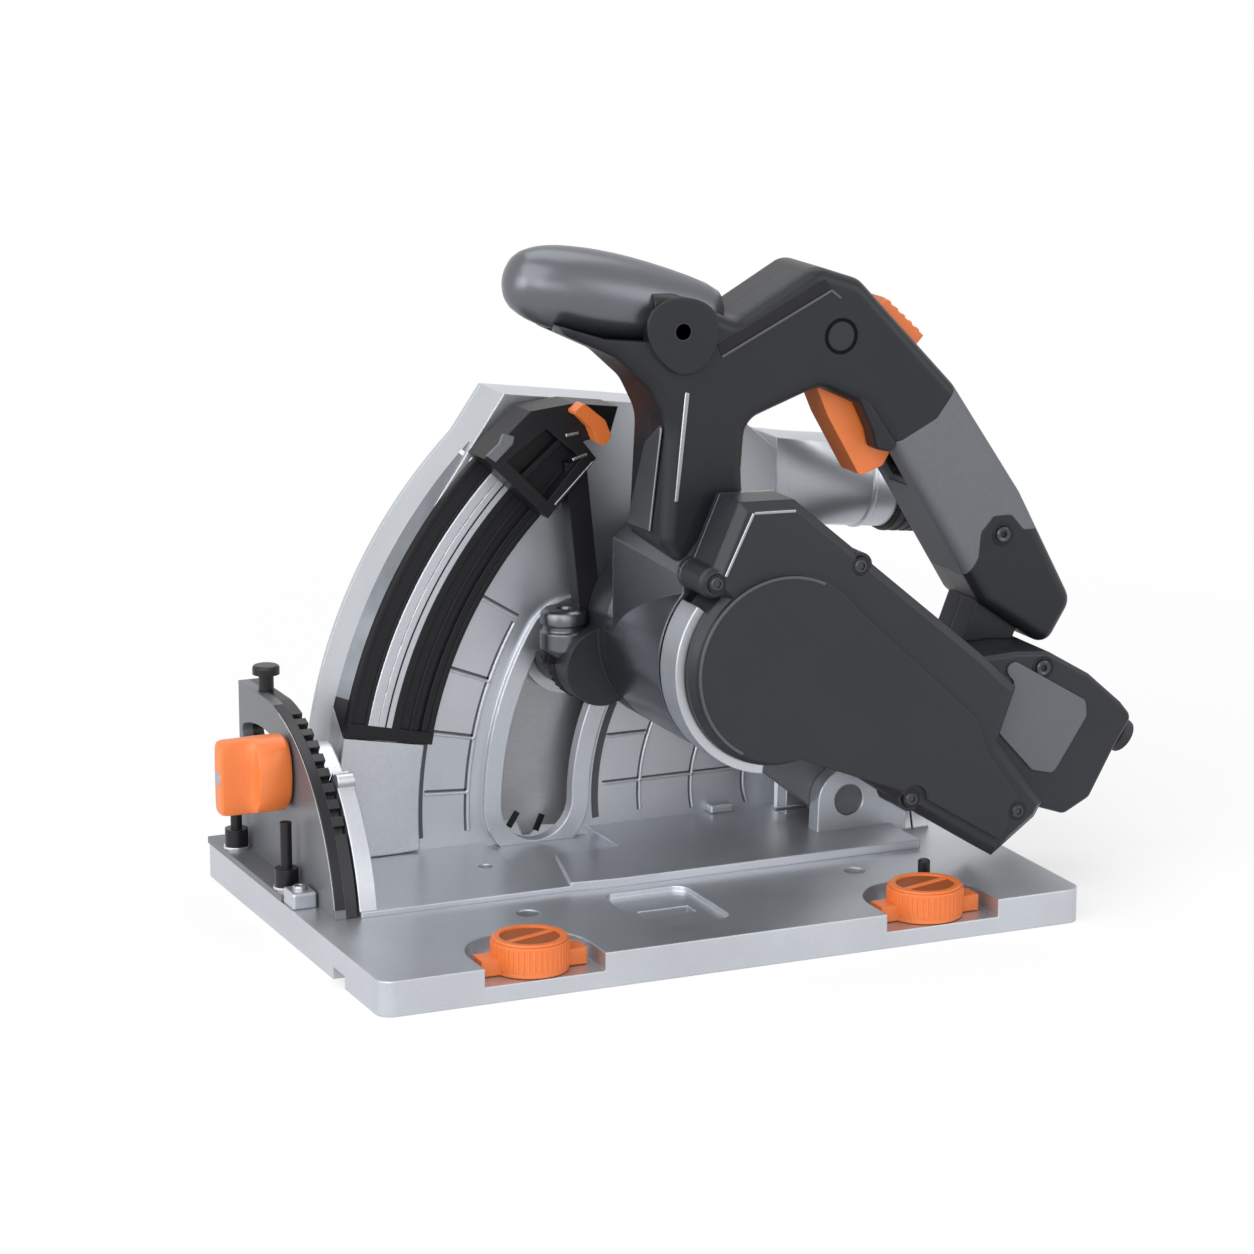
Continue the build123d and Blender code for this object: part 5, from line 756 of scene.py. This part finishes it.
# Rail cams: knurl, dish darkened with painted shade, with its rim, and the web that turns them
for cam, (cam_x, cam_y) in CAMS.items():
    knurl = spokes((cam_x, cam_y), CAM_RADIUS - 0.5, CAM_RADIUS + 0.35, CAM_TEETH, 1.1)
    prism(cam + "_knurl", knurl, *CAM_KNURL, "Z", cam, "orange_plastic", orange, 0.2)
    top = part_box(cam)[1][2] / MM
    cam_place = (cam_x, cam_y, top)
    dish = [(0, 0.1), (CAM_RADIUS - 3.2, 0.1), (CAM_RADIUS - 2.9, -0.2)]
    lathe(cam + "_dish_shade", [(cam_place, dish)], UP, cam, dish_shade_orange, 56)
    cam_rim = closed_ring(CAM_RADIUS - 3.2, CAM_RADIUS - 0.6, -0.3, 0.9, 0.4)
    lathe(cam + "_rim", [(cam_place, cam_rim)], UP, cam, orange, 56)
    reach = CAM_RADIUS - 3.4
    web = bar((cam_x - reach, cam_y - 3.6), (cam_x + reach, cam_y + 3.6), 2.4)
    prism(cam + "_web", [web], top - 0.1, top + 0.8, "Z", cam, "orange_plastic", orange, 0.35)

# Bevel knob: round base that narrows to a wing
knob_shape = bmesh.new()
knob_rings = []
for x, half_y, half_z, power in KNOB_SECTIONS:
    ring = []
    for step in range(KNOB_TURNS):
        turn = math.tau * step / KNOB_TURNS
        across = math.copysign(abs(math.cos(turn)) ** (2 / power), math.cos(turn))
        rise = math.copysign(abs(math.sin(turn)) ** (2 / power), math.sin(turn))
        ring.append(knob_shape.verts.new((x, KNOB[0] + half_y * across, KNOB[1] + half_z * rise)))
    knob_rings.append(ring)
join_rings(knob_shape, knob_rings)
knob = add_piece("knob_grip", knob_shape, "bevel_knob", orange)
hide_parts("bevel_knob")


# Stage: floor, world and soft lamps
def seen_ray(tree):
    """1 for rays from the camera, from a gloss or through glass, which see the white background."""
    path = tree.nodes.new("ShaderNodeLightPath")
    first = reckon(tree, "MAXIMUM", path.outputs["Is Camera Ray"], path.outputs["Is Glossy Ray"])
    return reckon(tree, "MAXIMUM", first, path.outputs["Is Transmission Ray"])


def floor_paper():
    """Pale floor that stays near white for the camera and still takes the saw's shadow."""
    made = bpy.data.materials.new("floor_paper")
    made.use_nodes = True
    tree = made.node_tree
    shader = tree.nodes["Principled BSDF"]
    shader.inputs["Base Color"].default_value = FLOOR_COLOUR
    shader.inputs["Roughness"].default_value = 0.9
    shader.inputs["Specular IOR Level"].default_value = 0.1
    glow = tree.nodes.new("ShaderNodeEmission")
    glow.inputs["Color"].default_value = WHITE
    glow.inputs["Strength"].default_value = 1.0
    shape = tree.nodes.new("ShaderNodeNewGeometry")
    away = tree.nodes.new("ShaderNodeVectorMath")
    away.operation = "LENGTH"
    tree.links.new(shape.outputs["Position"], away.inputs[0])
    share = remap(tree, away.outputs["Value"], FLOOR_FADE, FLOOR_GLOW)
    mix = tree.nodes.new("ShaderNodeMixShader")
    tree.links.new(reckon(tree, "MULTIPLY", share, seen_ray(tree)), mix.inputs["Fac"])
    tree.links.new(shader.outputs["BSDF"], mix.inputs[1])
    tree.links.new(glow.outputs["Emission"], mix.inputs[2])
    tree.links.new(mix.outputs["Shader"], tree.nodes["Material Output"].inputs["Surface"])
    return made


def lamp(name, place, target, size, power):
    """Soft area lamp aimed at a point of the saw."""
    data = bpy.data.lights.new(name, "AREA")
    data.shape = "RECTANGLE"
    data.size, data.size_y = size
    data.energy = power
    obj = bpy.data.objects.new(name, data)
    obj.location = place
    obj.rotation_euler = (Vector(target) - Vector(place)).to_track_quat("-Z", "Y").to_euler()
    bpy.context.scene.collection.objects.link(obj)


floor_mesh = bpy.data.meshes.new("floor")
floor_outline = box_outline((-FLOOR_REACH, -FLOOR_REACH), (FLOOR_REACH, FLOOR_REACH))
floor_mesh.from_pydata([(x, y, 0) for x, y in floor_outline], [], [(0, 1, 2, 3)])
floor = bpy.data.objects.new("floor", floor_mesh)
bpy.context.scene.collection.objects.link(floor)
floor_mesh.materials.append(floor_paper())

world = bpy.data.worlds.new("studio")
bpy.context.scene.world = world
world.use_nodes = True
sky = world.node_tree
background = sky.nodes["Background"]
background.inputs["Color"].default_value = SKY_COLOUR
background.inputs["Strength"].default_value = SKY_STRENGTH
white = sky.nodes.new("ShaderNodeBackground")
white.inputs["Color"].default_value = WHITE
white.inputs["Strength"].default_value = 1.0
choose = sky.nodes.new("ShaderNodeMixShader")
sky.links.new(seen_ray(sky), choose.inputs["Fac"])
sky.links.new(background.outputs["Background"], choose.inputs[1])
sky.links.new(white.outputs["Background"], choose.inputs[2])
sky.links.new(choose.outputs["Shader"], sky.nodes["World Output"].inputs["Surface"])
for name, settings in LAMPS.items():
    lamp(name, *settings)

# Camera
camera_data = bpy.data.cameras.new("photo_camera")
camera_data.sensor_width = CAMERA_SENSOR
camera_data.lens = CAMERA_LENS
camera_data.clip_end = CAMERA_REACH
camera = bpy.data.objects.new("photo_camera", camera_data)
azimuth = math.radians(CAMERA_AZIMUTH)
elevation = math.radians(CAMERA_ELEVATION)
level = math.cos(elevation)
back = Vector((math.sin(azimuth) * level, -math.cos(azimuth) * level, math.sin(elevation)))
right = Vector(UP).cross(back).normalized()
camera_turn = Matrix((right, back.cross(right), back)).transposed()
camera.matrix_world = Matrix.Translation(CAMERA_PLACE) @ camera_turn.to_4x4()
bpy.context.scene.collection.objects.link(camera)
bpy.context.scene.camera = camera

bpy.context.scene.view_settings.view_transform = "Standard"
